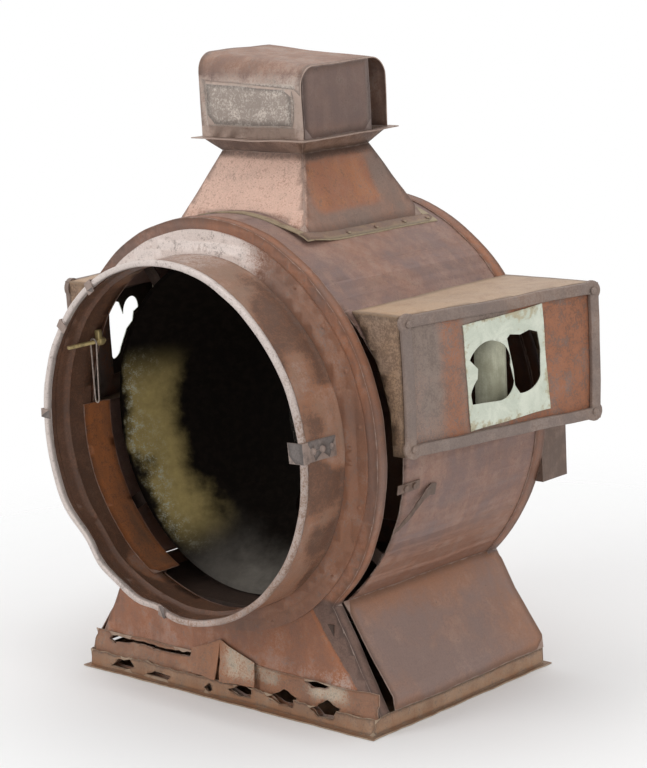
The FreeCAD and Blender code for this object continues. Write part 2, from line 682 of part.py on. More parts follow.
def vent_base():
    under = f"({DRUM_RADIUS} + play)"
    low = f"axis_height + sqrt({under}^2 - vent_foot_width^2)"
    wall = "(gauge * 1.1)"
    outside = wedge(low, "vent_neck_height", ("vent_foot_width", "vent_foot_depth"),
                    ("vent_neck_width", "vent_neck_depth"))
    inside = wedge(low, "vent_neck_height", (f"(vent_foot_width - {wall})", f"(vent_foot_depth - {wall})"),
                   (f"(vent_neck_width - {wall})", f"(vent_neck_depth - {wall})"))
    drum = rod("0", "vent_centre - 2 * vent_foot_depth", "axis_height", under, "4 * vent_foot_depth", "Y")
    node("vent_base", cut(outside, fuse(inside, drum)))


def vent_tray():
    low = "vent_neck_height + play"
    wall = "(gauge * 1.2)"
    outside = wedge(low, "tray_height", ("vent_neck_width", "vent_neck_depth"),
                    (f"(tray_mouth_width + {wall})", f"(tray_mouth_depth + {wall})"))
    lip = box("-lip_width", "vent_centre - lip_depth", "tray_height", "2 * lip_width", "2 * lip_depth", "gauge")
    inside = wedge(low, "tray_height + gauge", (f"(vent_neck_width - {wall})", f"(vent_neck_depth - {wall})"),
                   ("tray_mouth_width", "tray_mouth_depth"))
    node("vent_tray", cut(fuse(outside, lip), inside))


def vent_inner_box():
    """Four walls under the hood; the front one ends where the hood bends, and the smoke leaves over the rear one."""
    body = new_body("vent_inner_box")
    profile = new_sketch(body, "YZ", "play - hood_width")
    low = "(tray_height + gauge + play)"
    top = "(hood_top - gauge - play)"
    reach = "(hood_bend - gauge - play)"
    middle = "(vent_centre - hood_depth + hood_bend)"
    rise = f"sqrt({reach}^2 - ({middle} + smoke_box_front)^2)"
    draw(profile, [("-smoke_box_front", low), ("smoke_box_rear", low), ("smoke_box_rear", top),
                   (middle, top, reach, 1), ("-smoke_box_front", f"hood_top - hood_bend + {rise}")])
    pad(body, profile, "2 * (hood_width - play)")
    inside = new_sketch(body, "XY", "hood_top")
    side = "(hood_width - play - gauge)"
    draw(inside, rectangle("-" + side, "gauge - smoke_box_front", side, "smoke_box_rear - gauge"))
    pocket(body, inside, "hood_rise")
    way_out = new_sketch(body, "XZ", "2 * gauge - smoke_box_rear")
    draw(way_out, rectangle("-" + side, "hood_top - smoke_gap", side, "hood_top"))
    pocket(body, way_out, "3 * gauge")


def vent_hood():
    body = new_body("vent_hood")
    profile = new_sketch(body, "YZ", "-hood_width", x="vent_centre")
    low = "tray_height + gauge + play"
    bend = "hood_top - hood_bend"
    outer = "(hood_depth - hood_bend)"
    draw(profile, [("-hood_depth", low), ("gauge - hood_depth", low),
                   ("gauge - hood_depth", bend, "hood_bend - gauge", -1), ("-" + outer, "hood_top - gauge"),
                   (outer, "hood_top - gauge", "hood_bend - gauge", -1), ("hood_depth - gauge", bend),
                   ("hood_depth - gauge", low), ("hood_depth", low),
                   ("hood_depth", bend, "hood_bend", 1), (outer, "hood_top"),
                   ("-" + outer, "hood_top", "hood_bend", 1), ("-hood_depth", bend)])
    pad(body, profile, "2 * hood_width")
    panel = new_sketch(body, "XZ", "hood_depth - vent_centre")
    draw(panel, rectangle("-emboss_width", "emboss_low", "emboss_width", "emboss_high"))
    raised = pad(body, panel, "emboss_rise")
    doc.recompute()
    front = faces_towards(raised.Shape, FreeCAD.Vector(0, -1, 0), value("hood_depth - vent_centre + emboss_rise"))
    bevel = body.newObject("PartDesign::Chamfer", "Chamfer")
    bevel.Base = (raised, front)
    tie(bevel, Size="emboss_rise * 0.9")
    body.Tip = bevel


# Number boxes


def number_case():
    body = new_body("number_case_right")
    plan = new_sketch(body, "XY", "box_low")
    root = "(head_radius / 2)"
    rear_reach = "(box_reach + face_length * sin(box_yaw))"
    draw(plan, [(root, "-box_front"), ("box_reach", "-box_front"), (rear_reach, FACE_REAR), (root, FACE_REAR)])
    pad(body, plan, "box_high - box_low")
    inside = new_sketch(body, "XY", "box_high - gauge")
    beyond = f"({rear_reach} + face_length)"
    draw(inside, rectangle(f"{root} - gauge", "gauge - box_front", beyond, f"{FACE_REAR} - gauge"))
    pocket(body, inside, "box_high - box_low - 2 * gauge")
    saddle = new_sketch(body, "XZ", "box_front + gauge")
    draw_circle(saddle, "0", "axis_height", "head_radius + play")
    pocket(body, saddle, f"2 * gauge + box_front + {FACE_REAR}")
    return body


def face_body(name):
    """A body whose local X runs rearwards along the number face and whose front looks outwards."""
    body = new_body(name)
    body.Placement = FreeCAD.Placement(FreeCAD.Vector(0, 0, 0), FreeCAD.Rotation(FreeCAD.Vector(0, 0, 1), 90))
    tie(body, Placement__Base__x="box_reach", Placement__Base__y="-box_front",
        Placement__Rotation__Angle="90 - box_yaw")
    return body


EARS = [(x, z) for x in ("(ear_radius - 3)", "(face_length - ear_radius + 3)")
        for z in ("(box_low + ear_radius - 3)", "(box_high - ear_radius + 3)")]


def number_frame():
    body = face_body("number_frame_right")
    outline = new_sketch(body, "XZ", "play")
    draw(outline, rectangle("0", "box_low", "face_length", "box_high"))
    pad(body, outline, "frame_rise")
    for x, z in EARS:
        ear = new_sketch(body, "XZ", "play")
        draw_circle(ear, x, z, "ear_radius")
        pad(body, ear, "frame_rise")
    window = new_sketch(body, "XZ", "play + frame_rise")
    draw(window, rectangle("frame_bar", "box_low + frame_bar", "face_length - frame_bar", "box_high - frame_bar"))
    pocket(body, window, "frame_rise")
    return body


def rivet_head(name="RivetHead"):
    head = doc.addObject("Part::Prism", name)
    head.Polygon = 8
    tie(head, Circumradius="rivet_radius", Height="rivet_rise")
    return head


def number_rivets():
    rivets = []
    for x, z in EARS:
        head = rivet_head()
        head.Placement = FreeCAD.Placement(FreeCAD.Vector(0, 0, 0), FreeCAD.Rotation(FreeCAD.Vector(1, 0, 0), 90))
        tie(head, Placement__Base__x=x, Placement__Base__y="-play - frame_rise", Placement__Base__z=z)
        rivets.append(head)
    group = doc.addObject("Part::Compound", "RivetHeads")
    group.Links = rivets
    group.Placement = FreeCAD.Placement(FreeCAD.Vector(0, 0, 0), FreeCAD.Rotation(FreeCAD.Vector(0, 0, 1), 90))
    tie(group, Placement__Base__x="box_reach", Placement__Base__y="-box_front",
        Placement__Rotation__Angle="90 - box_yaw")
    return node("number_rivets_right", group)


def number_face(name, start):
    """Sheet behind the frame; start is the front edge of its window."""
    body = face_body(name)
    edge = "(gauge + 2 * play)"
    sheet_front = new_sketch(body, "XZ", "-gauge")
    draw(sheet_front, rectangle(edge, f"box_low + {edge}", f"face_length - {edge}", f"box_high - {edge}"))
    pad(body, sheet_front, "gauge")
    window = new_sketch(body, "XZ", "0")
    draw(window, rectangle(start, "window_low", f"{start} + window_length", "window_low + window_height"))
    pocket(body, window, "gauge")
    return body


def number_plate(name, start, holes):
    """Pale plate over the window; holes are outlines about the plate's middle."""
    body = face_body(name)
    middle = {"x": f"{start} + window_length / 2", "y": "window_low + window_height / 2"}
    outline = new_sketch(body, "XZ", "play", turn="plate_tilt", **middle)
    draw(outline, rectangle("-plate_length / 2", "-plate_height / 2", "plate_length / 2", "plate_height / 2"))
    pad(body, outline, "plate_thickness")
    for hole in holes:
        broken = new_sketch(body, "XZ", "play + plate_thickness", **middle)
        draw(broken, hole)
        pocket(body, broken, "plate_thickness")
    return body


RIGHT_HOLES = [
    [("-64", "20", "38", -1), ("-17", "40", "30", -1), ("6", "4"), ("12", "-20", "26", -1), ("-15", "-43"),
     ("-61", "-42"), ("-64", "-28", "40", -1), ("-52", "-8"), ("-50", "6")],
    [("2", "41"), ("7", "46"), ("24", "43"), ("40", "47"), ("55", "42"), ("61", "16"), ("59", "-20", "34", -1),
     ("22", "-39"), ("13", "-26"), ("11", "-4")],
]
LEFT_HOLES = [
    [("-68", "30"), ("-53", "36"), ("-33", "30"), ("-24", "10", "24", -1), ("2", "34", "17", -1),
     ("17", "14"), ("4", "10"), ("0", "-4"), ("-17", "-14"), ("-35", "-40", "19", -1), ("-57", "-54"),
     ("-70", "-40"), ("-66", "0")],
]


def light_shield():
    body = face_body("light_shield_right")
    plan = new_sketch(body, "XY", "box_low + gauge + play")
    inner = "(shield_radius - gauge)"
    place = "shield_place"
    back = "shield_depth"
    draw(plan, [(f"{place} + 0.96 * shield_radius", back, "shield_radius", -1),
                (f"{place} - 0.96 * shield_radius", back),
                (f"{place} - 0.96 * {inner}", back, inner, 1), (f"{place} + 0.96 * {inner}", back)])
    pad(body, plan, "box_high - box_low - 2 * (gauge + play)")
    return body


# Goggle


def goggle_ring():
    back = "(-front_depth - play)"
    rear = f"({back} - gauge - play)"
    crown = f"({rear} - ring_rise)"
    bore = "(collar_radius + play)"
    revolve("goggle_ring", [
        (bore, crown), ("ring_step", crown), ("ring_step", f"{rear} - gauge"),
        ("ring_radius", f"{rear} - gauge"), ("ring_radius", back),
        ("ring_radius - gauge", back), ("ring_radius - gauge", rear), ("ring_step - gauge", rear),
        ("ring_step - gauge", f"{crown} + gauge"), (bore, f"{crown} + gauge")])


def goggle_collar():
    crown = "(-front_depth - gauge - 2 * play - ring_rise)"
    flange = f"({crown} + gauge + play)"
    inner = "(collar_radius - gauge)"
    bead = "(-collar_front + 2 * bead_radius)"
    wide = "(collar_radius + bead_radius - gauge / 2)"
    narrow = "(collar_radius - bead_radius - gauge / 2)"
    revolve("goggle_collar", [
        (inner, bead), (inner, f"{flange} + gauge"), ("ring_step - 3 * gauge", f"{flange} + gauge"),
        ("ring_step - 3 * gauge", flange), ("collar_radius", flange), ("collar_radius", bead),
        (wide, bead), (wide, "-collar_front"), (narrow, "-collar_front"), (narrow, bead)])


def glass_seat():
    outer = "(collar_radius - gauge - play)"
    inner = f"({outer} - gauge)"
    revolve("glass_seat", [(outer, "-seat_front"), (outer, "-seat_rear"), (f"{inner} - seat_ledge", "-seat_rear"),
                           (f"{inner} - seat_ledge", "-seat_rear - gauge"), (inner, "-seat_rear - gauge"),
                           (inner, "-seat_front")])


def clip_strip(name, width, length, nose):
    """Strip bent over the folded rim, with its strap outside the collar."""
    strip = doc.addObject("PartDesign::Body", name)
    profile = new_sketch(strip, "XY", f"-{width} / 2")
    strap = "(collar_radius + play)"
    over = "(collar_radius - gauge / 2 + bead_radius + play)"
    front = "(-collar_front - play)"
    heel = "(2 * bead_radius - collar_front + play)"
    tip = f"(collar_radius - gauge - {nose})"
    end = f"({length} - collar_front)"
    draw(profile, [(strap, end), (strap, f"{heel} + gauge"), (over, f"{heel}"), (over, front), (tip, front),
                   (tip, f"{front} - gauge"), (f"{over} + gauge", f"{front} - gauge"), (f"{over} + gauge", heel),
                   (f"{strap} + gauge", f"{heel} + 2 * gauge"), (f"{strap} + gauge", end)])
    pad(strip, profile, width)
    doc.recompute()
    return strip.Shape.copy()


def glass_clips():
    """One whole clip with three rivets, and what is left of four others."""
    clip = clip_strip("clip_strip", "clip_width", "clip_length", "clip_tab")
    head = rivet_head("clip_rivet")
    doc.recompute()
    for place in (0.15, 0.47, 0.79):
        rivet = head.Shape.copy()
        rivet.rotate(FreeCAD.Vector(0, 0, 0), FreeCAD.Vector(0, 1, 0), 90)
        middle = value(f"clip_length - collar_front - {place} * (clip_length - 2 * bead_radius)")
        rivet.translate(FreeCAD.Vector(value("collar_radius + play + gauge"), middle, 0))
        clip = clip.fuse(rivet)
    tab = clip_strip("tab_strip", "tab_width", "tab_length", "tab_nose")
    clips = []
    for angle in (STRAP_ANGLE, *TAB_ANGLES):
        piece = (clip if angle == STRAP_ANGLE else tab).copy()
        piece.rotate(FreeCAD.Vector(0, 0, 0), FreeCAD.Vector(0, 1, 0), -angle)
        piece.translate(FreeCAD.Vector(0, 0, value("axis_height")))
        clips.append(piece.Solids[0])
    group = doc.addObject("Part::Feature", "glass_clips")
    group.Shape = Part.makeCompound(clips)
    node("glass_clips", group)


def liner_band():
    """What is left of the liner: two stretches of a flanged ring behind the front head's edge."""
    inner = value("liner_radius")
    outer = value("liner_radius + gauge")
    behind = value("gauge + play - front_depth")
    points = [(inner, -value("liner_front")), (outer, -value("liner_front")), (outer, behind),
              (value("front_opening + liner_flange"), behind),
              (value("front_opening + liner_flange"), behind + value("gauge")),
              (outer, behind + value("gauge")), (outer, -value("liner_rear")), (inner, -value("liner_rear"))]
    corners = [FreeCAD.Vector(radius, y, 0) for radius, y in points]
    section = Part.Face(Part.makePolygon(corners + corners[:1]))
    pieces = []
    for start, span in LINER_SPANS:
        turned_section = section.copy()
        turned_section.rotate(FreeCAD.Vector(0, 0, 0), FreeCAD.Vector(0, 1, 0), -start)
        piece = turned_section.revolve(FreeCAD.Vector(0, 0, 0), FreeCAD.Vector(0, 1, 0), -span)
        piece.translate(FreeCAD.Vector(0, 0, value("axis_height")))
        pieces.append(piece)
    group = doc.addObject("Part::Feature", "liner_band")
    group.Shape = Part.makeCompound(pieces)
    node("liner_band", group)


def goggle_hinge():
    """Three knuckles on a vertical pin at the left, with a leaf on the flange and one on the ring."""
    x = "(-hinge_reach)"
    y = "(-hinge_advance)"
    low = "(axis_height - hinge_length / 2)"
    third = "(hinge_length / 3)"
    bore = "(hinge_pin + running)"
    node("hinge_pin", fuse(rod(x, y, f"{low} - 3", "hinge_pin", "hinge_length + 6"),
                           prism(x, y, f"{low} - 3 - play", "hinge_pin + 1.5", "3", 8),
                           prism(x, y, f"{low} + hinge_length + play", "hinge_pin + 1.5", "3", 8)))
    ends = [rod(x, y, low, "hinge_knuckle", f"{third} - play"),
            rod(x, y, f"{low} + 2 * {third} + play", "hinge_knuckle", f"{third} - play")]
    side = "(-head_radius - play - leaf_thickness)"
    back = "(-front_depth + 2)"
    plate = box(side, back, low, "leaf_thickness", "leaf_depth", "hinge_length")
    tabs = [box(side, y, low, "leaf_thickness", f"{back} - {y}", f"{third} - play"),
            box(side, y, f"{low} + 2 * {third} + play", "leaf_thickness", f"{back} - {y}", f"{third} - play")]
    hole = rod(x, y, f"{low} - 5", bore, "hinge_length + 10")
    node("hinge_leaf_case", cut(fuse(*ends, plate, *tabs), hole))
    knuckle = rod(x, y, f"{low} + {third} + play", "hinge_knuckle", f"{third} - 2 * play")
    face = "(-front_depth - 2 * gauge - 3 * play)"
    leaf = box(x, f"{face} - leaf_thickness", f"{low} + {third} + play",
               "hinge_reach - ring_step - gauge", "leaf_thickness", f"{third} - 2 * play")
    hole = rod(x, y, f"{low} - 5", bore, "hinge_length + 10")
    node("hinge_leaf_goggle", cut(fuse(knuckle, leaf), hole))


def stay_rod():
    """Brass rod in a lug on the collar's inside, with its nut and the wire link that hangs on it."""
    x = "(-stay_x)"
    z = "stay_height"
    bar = rod(x, "-stay_front", z, "stay_radius", "stay_front - stay_rear", "Y")
    lug = common(box("-collar_radius", "-stay_lug", f"{z} - 8", "collar_radius - stay_x + 8", "8", "16"),
                 rod("0", "-stay_lug - 1", "axis_height", "collar_radius - gauge - play", "10", "Y"))
    node("brass_rod", fuse(bar, lug))
    nut = prism(x, "-stay_rear - 14", z, "stay_radius * 2.4", "9", 6, "Y")
    hole = rod(x, "-stay_rear - 15", z, "stay_radius + running", "11", "Y")
    node("brass_nut", cut(nut, hole))


def wire_link():
    """Long closed loop of wire, hanging over the rod."""
    body = new_body("wire_link")
    outline = new_sketch(body, "XZ", "link_place - link_wire", x="-stay_x", y="stay_height")
    for bend in ("(stay_radius + 1.2)", "(stay_radius + 1.2 + 2 * link_wire)"):
        high = "(play - 1.2)"
        low = "(play + stay_radius + 2 * link_wire - link_length + stay_radius + 1.2 + 2 * link_wire)"
        draw(outline, [(bend, high, bend, 1), ("0", f"{high} + {bend}", bend, 1), ("-" + bend, high),
                       ("-" + bend, low, bend, 1), ("0", f"{low} - {bend}", bend, 1), (bend, low)])
    pad(body, outline, "2 * link_wire")


def latch_strap():
    """What is left of the goggle's strap: a riveted tongue on the drum's right side."""
    angle = math.degrees(math.asin(value("strap_drop / head_radius")))
    outside = value(f"{DRUM_RADIUS} + play")
    strap = Part.makeBox(value("gauge"), value("strap_length"), value("strap_width"),
                         FreeCAD.Vector(outside, value("-strap_front"), value("-strap_width / 2")))
    head = rivet_head("strap_rivet")
    doc.recompute()
    for step in (0.9, 1.9):
        rivet = head.Shape.copy()
        rivet.rotate(FreeCAD.Vector(0, 0, 0), FreeCAD.Vector(0, 1, 0), 90)
        rivet.translate(FreeCAD.Vector(outside + value("gauge"), value(f"strap_pitch * {step} - strap_front"), 0))
        strap = strap.fuse(rivet)
    strap.rotate(FreeCAD.Vector(0, 0, 0), FreeCAD.Vector(0, 1, 0), angle)
    strap.translate(FreeCAD.Vector(0, 0, value("axis_height")))
    feature = doc.addObject("Part::Feature", "latch_strap")
    feature.Shape = strap.Solids[0]
    node("latch_strap", feature)


# Reflector and oil lamp


def reflector():
    """Parabolic bowl with a flat rim, and holes over and under the flame."""
    steps = [f"(mouth_radius * {step})" for step in (0.28, 0.54, 0.78)]

    def curve(reach):
        return f"({VERTEX} - {reach}^2 / (4 * focal_length))"

    edge = "(-mouth_depth)"
    rim = "(mouth_radius + mouth_flange)"
    corners = [("0", VERTEX)] + [(reach, curve(reach)) for reach in steps]
    corners += [("mouth_radius", edge), (rim, edge), (rim, f"{edge} + bowl_sheet"),
                ("mouth_radius", f"{edge} + bowl_sheet")]
    corners += [(reach, f"{curve(reach)} + bowl_sheet") for reach in steps[::-1]]
    corners += [("0", f"{VERTEX} + bowl_sheet")]
    bowl = revolve("reflector", corners)
    for hole, upwards in (("burner_hole", False), ("chimney_hole", True)):
        sketch = new_sketch(bowl, "XY")
        draw_circle(sketch, "0", FOCUS, hole)
        pocket(bowl, sketch, "head_radius").Reversed = upwards


def reflector_brackets():
    inner = value("mouth_radius + 2")
    outer = value(f"{DRUM_RADIUS} - gauge - play")
    back = value("bowl_sheet + play - mouth_depth")
    width = value("bracket_width")
    brackets = []
    for angle in BRACKET_ANGLES:
        thick = value("bowl_sheet")
        arm = Part.makeBox(outer - inner + thick, thick, width, FreeCAD.Vector(inner, back, -width / 2))
        foot = Part.makeBox(3 * thick, value("bracket_foot"), width, FreeCAD.Vector(outer - thick, back, -width / 2))
        drum = Part.makeCylinder(outer, 2 * value("bracket_foot"), FreeCAD.Vector(0, back - thick, 0),
                                 FreeCAD.Vector(0, 1, 0))
        bracket = arm.fuse(foot).common(drum)
        bracket.rotate(FreeCAD.Vector(0, 0, 0), FreeCAD.Vector(0, 1, 0), -angle)
        bracket.translate(FreeCAD.Vector(0, 0, value("axis_height")))
        brackets.append(bracket.Solids[0])
    group = doc.addObject("Part::Feature", "reflector_brackets")
    group.Shape = Part.makeCompound(brackets)
    node("reflector_brackets", group)


def lamp_shelf():
    body = new_body("lamp_shelf")
    front = f"(-front_depth + {FOOT})"
    rear = f"(rear_depth - {FOOT})"
    top = new_sketch(body, "XY", "shelf_height")
    draw(top, rectangle("-shelf_half", front, "shelf_half", rear))
    pad(body, top, "gauge")
    for edge in (front, f"({rear} - gauge)"):
        flange = new_sketch(body, "XY", "shelf_height - shelf_edge")
        draw(flange, rectangle("-shelf_half", edge, "shelf_half", f"{edge} + gauge"))
        pad(body, flange, "shelf_edge")


def lamp():
    """Fount on the shelf, burner through the bowl's lower hole, chimney through the upper one."""
    floor = f"(shelf_height + {FOOT})"
    fount_top = f"({floor} + fount_height)"
    cap_x = "cap_x"
    tank = rod("0", FOCUS, floor, "fount_radius", "fount_height")
    neck = rod(cap_x, FOCUS, fount_top, "cap_neck", "8")
    node("lamp_fount", fuse(tank, neck))
    cup = prism(cap_x, FOCUS, f"{fount_top} + play", "cap_neck + 3.5", "11", 12)
    hollow = rod(cap_x, FOCUS, fount_top, "cap_neck + running", "8 + play")
    node("filler_cap", cut(cup, hollow))
    gallery = "(gallery_height + gallery_rise)"
    turned_burner = [rod("0", FOCUS, f"{fount_top} + play", "burner_neck", f"gallery_height - {fount_top} - play"),
                     prism("0", FOCUS, "gallery_height", "gallery_radius", "gallery_rise", 16),
                     rod("0", FOCUS, gallery, "wick_radius", f"wick_top - {gallery}"),
                     rod("0", FOCUS, "knob_height", "spindle_radius + 3", "burner_neck + 6", "X")]
    bore = rod("burner_neck - 8", FOCUS, "knob_height", "spindle_radius + running", "burner_neck + 4", "X")
    node("burner", cut(fuse(*turned_burner), bore))
    spindle = rod("burner_neck - 7", FOCUS, "knob_height", "spindle_radius", "knob_reach - burner_neck + 8", "X")
    knob = prism("knob_reach", FOCUS, "knob_height", "knob_radius", "6", 12, "X")
    node("wick_knob", fuse(spindle, knob))
    foot = f"({gallery} + play)"
    glass = rod("0", FOCUS, foot, "chimney_radius", f"chimney_top - {foot}")
    inside = rod("0", FOCUS, f"{foot} - 1", "chimney_radius - chimney_wall", f"chimney_top - {foot} + 2")
    node("lamp_chimney", cut(glass, inside))


def flue():
    """Pipe over the chimney with a curved flange that lies on the drum under the vent."""
    under = f"({DRUM_RADIUS} + play)"
    over = f"({DRUM_RADIUS} + play + gauge)"
    reach = "(head_radius + play)"
    pipe = common(rod("0", FOCUS, "flue_low", "flue_radius", f"axis_height + {reach} - flue_low"),
                  rod("0", f"-{reach}", "axis_height", over, f"2 * {reach}", "Y"))
    arch = cut(rod("0", f"{FOCUS} - flue_flange", "axis_height", over, "2 * flue_flange", "Y"),
               rod("0", f"{FOCUS} - flue_flange - 1", "axis_height", under, "2 * flue_flange + 2", "Y"))
    flange = common(arch, box("-flue_flange", f"{FOCUS} - flue_flange", "axis_height",
                              "2 * flue_flange", "2 * flue_flange", f"{reach}"))
    bore = rod("0", FOCUS, "flue_low - 1", "flue_radius - gauge", f"2 * {reach}")
    node("flue", cut(fuse(pipe, flange), bore))


# Rear


def rear_door():
    body = new_body("rear_door")
    outline = new_sketch(body, "XZ", "-rear_depth - play - gauge")
    half = "(door_half + door_lap)"
    draw(outline, rectangle("-" + half, "door_low - door_lap", half, "door_high + door_lap"))
    pad(body, outline, "gauge")
    knob = fuse(rod("door_half - 15", "rear_depth + gauge + 2 * play", "(door_low + door_high) / 2", "5", "14", "Y"),
                prism("door_half - 15", "rear_depth + gauge + 12", "(door_low + door_high) / 2", "11", "9", 12, "Y"))
    node("rear_door_knob", knob)
    x = "(-door_half - door_lap - rear_knuckle - play)"
    y = "(rear_depth + rear_knuckle + 2 * play)"
    low = "((door_low + door_high - rear_hinge_length) / 2)"
    third = "(rear_hinge_length / 3)"
    node("rear_hinge_pin", rod(x, y, f"{low} - 2", "rear_pin", "rear_hinge_length + 4"))
    ends = [rod(x, y, low, "rear_knuckle", f"{third} - play"),
            rod(x, y, f"{low} + 2 * {third} + play", "rear_knuckle", f"{third} - play")]
    leaf = box(f"{x} - rear_leaf", "rear_depth + play", low, "rear_leaf", "2", "rear_hinge_length")
    clear = box(f"{x} - rear_knuckle - play", "rear_depth", f"{low} + {third} - play", "2 * rear_knuckle + 2 * play",
                "10", f"{third} + 2 * play")
    hole = rod(x, y, f"{low} - 5", "rear_pin + running", "rear_hinge_length + 10")
    node("rear_hinge_case", cut(cut(fuse(*ends, leaf), clear), hole))
    knuckle = rod(x, y, f"{low} + {third} + play", "rear_knuckle", f"{third} - 2 * play")
    strap = box(x, "rear_depth + gauge + 2 * play", f"{low} + {third} + play", "rear_strap", "2",
                f"{third} - 2 * play")
    hole = rod(x, y, f"{low} - 5", "rear_pin + running", "rear_hinge_length + 10")
    node("rear_hinge_door", cut(fuse(knuckle, strap), hole))


def rear_bracket():
    height = "bracket_high - bracket_low"
    web = box("bracket_x - 2", "rear_depth + play", "bracket_low", "2", "bracket_depth", height)
    foot = box("bracket_x - bracket_side", "rear_depth + play", "bracket_low", "bracket_side - 1", "2", height)
    rivets = [prism("bracket_x - bracket_side * 0.6", "rear_depth + play + 1", f"bracket_low + {rise}",
                    "rivet_radius", "rivet_rise + 1", 8, "Y")
              for rise in (f"({height}) * 0.18", f"({height}) * 0.82")]
    node("rear_bracket", fuse(web, foot, *rivets))


def build():
    base_plate()
    base_rim()
    front_head()
    front_skirt()
    rear_head()
    drum_shell()
    side_panel("side_panel_right", "", "(front_depth - front_flange - panel_gap)")
    side_panel("side_panel_left", "-", f"(front_depth - {FOOT})")
    vent_saddle()
    vent_base()
    vent_tray()
    vent_inner_box()
    vent_hood()
    pieces = [number_case(), number_frame(), number_rivets(), light_shield()]
    number_face("number_face_right", "window_start")
    number_plate("number_plate_right", "window_start", RIGHT_HOLES)
    left_start = "(window_start - window_shift)"
    left_face = number_face("left_face_pattern", left_start)
    left_plate = number_plate("left_plate_pattern", left_start, LEFT_HOLES)
    NODES.pop("left_face_pattern")
    NODES.pop("left_plate_pattern")
    for piece in pieces:
        mirrored(piece.Label.replace("_right", "_left"), piece)
    mirrored("number_face_left", left_face)
    mirrored("number_plate_left", left_plate)
    goggle_ring()
    goggle_collar()
    glass_seat()
    glass_clips()
    liner_band()
    goggle_hinge()
    stay_rod()
    wire_link()
    latch_strap()
    reflector()
    reflector_brackets()
    lamp_shelf()
    lamp()
    flue()
    rear_door()
    rear_bracket()


def check_and_write():
    """Stops on any failed object or shape, then writes one file for each piece."""
    doc.recompute()
    for feature in doc.Objects:
        failed = {"Invalid", "Error"} & set(feature.State)
        if failed:
            raise RuntimeError(f"{feature.Label} ({feature.Name}) is {failed}")
    os.makedirs("parts", exist_ok=True)
    for name, feature in NODES.items():
        shape = feature.Shape
        if shape.isNull() or not shape.isValid() or not shape.Solids:
            raise RuntimeError(f"{name} has no valid shape")
        shape.exportStep(f"parts/{name}.step")
        low, high = shape.BoundBox, shape.BoundBox
        print(f"{name:22s} solids {len(shape.Solids)} volume {shape.Volume / 1000:8.1f} cm3 "
              f"x {low.XMin:.1f} {high.XMax:.1f} y {low.YMin:.1f} {high.YMax:.1f} z {low.ZMin:.1f} {high.ZMax:.1f}")
    print(len(NODES), "pieces")


build()
check_and_write()
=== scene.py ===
# %% [markdown]
# A rusted locomotive headlamp, dressed for a still render.
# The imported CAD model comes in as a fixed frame: every sheet of the lamp is already where it belongs, flat
# and clean. This lesson bends the sheets the way eighty years of knocks would, gives them their rust, and
# adds what is too small or too crooked for the CAD file.

# %% Load the frame
import json
import math

import bpy
from mathutils import Matrix, Vector, noise


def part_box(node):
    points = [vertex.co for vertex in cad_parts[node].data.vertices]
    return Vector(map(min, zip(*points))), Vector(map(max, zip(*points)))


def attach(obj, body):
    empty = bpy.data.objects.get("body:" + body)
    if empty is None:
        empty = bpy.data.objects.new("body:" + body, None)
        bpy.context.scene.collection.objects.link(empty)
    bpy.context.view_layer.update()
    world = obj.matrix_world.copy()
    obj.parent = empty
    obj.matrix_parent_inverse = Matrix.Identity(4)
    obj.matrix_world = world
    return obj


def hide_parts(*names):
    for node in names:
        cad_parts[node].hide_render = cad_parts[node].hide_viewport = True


noise.seed_set(7)  # otherwise the clock picks the seed, and the dents change on every run
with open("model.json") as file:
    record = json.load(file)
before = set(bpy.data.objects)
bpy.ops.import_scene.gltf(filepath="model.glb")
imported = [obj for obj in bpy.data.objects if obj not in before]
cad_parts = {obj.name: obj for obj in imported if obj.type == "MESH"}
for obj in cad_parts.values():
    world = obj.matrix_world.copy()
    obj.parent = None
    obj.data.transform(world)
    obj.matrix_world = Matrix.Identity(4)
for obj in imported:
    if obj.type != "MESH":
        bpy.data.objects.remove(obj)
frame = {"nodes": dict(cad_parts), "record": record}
NODES = frame["nodes"]
BODY_OF = {node: body for body, names in frame["record"]["behaviour"]["bodies"].items() for node in names}
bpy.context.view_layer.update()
AXIS_HEIGHT = 0.39
AXIS = Vector((0, 0, AXIS_HEIGHT))

# %% [markdown]
# The camera stands where the photograph was taken from: level with the top of the lamp, to its right and well
# back, with a long lens. Its place and angles were solved from the corners of the base, the vent and the
# number box, so they are numbers here, not a guess by eye.

# %% Camera
CAMERA_AZIMUTH = math.radians(42.93278)
CAMERA_ELEVATION = math.radians(11.50953)
CAMERA_ROLL = math.radians(-2.90452)
CAMERA_PLACE = Vector((2.34127, -2.4656, 1.11716))
FOCAL_PIXELS = 2384.42
FRAME_HEIGHT = 768
SENSOR = 36.0

back = Vector((math.sin(CAMERA_AZIMUTH) * math.cos(CAMERA_ELEVATION),
               -math.cos(CAMERA_AZIMUTH) * math.cos(CAMERA_ELEVATION), math.sin(CAMERA_ELEVATION)))
right = (-back).cross(Vector((0, 0, 1))).normalized()
up = right.cross(-back)
rolled_right = math.cos(CAMERA_ROLL) * right + math.sin(CAMERA_ROLL) * up
rolled_up = -math.sin(CAMERA_ROLL) * right + math.cos(CAMERA_ROLL) * up
lens = bpy.data.cameras.new("camera")
lens.sensor_width = SENSOR
lens.lens = FOCAL_PIXELS / FRAME_HEIGHT * SENSOR
lens.clip_start = 0.1
lens.clip_end = 60
camera = bpy.data.objects.new("camera", lens)
bpy.context.scene.collection.objects.link(camera)
axes = Matrix((rolled_right, rolled_up, back)).transposed()
camera.matrix_world = Matrix.Translation(CAMERA_PLACE) @ axes.to_4x4()
bpy.context.scene.camera = camera
print("lens", round(lens.lens, 1), "mm")

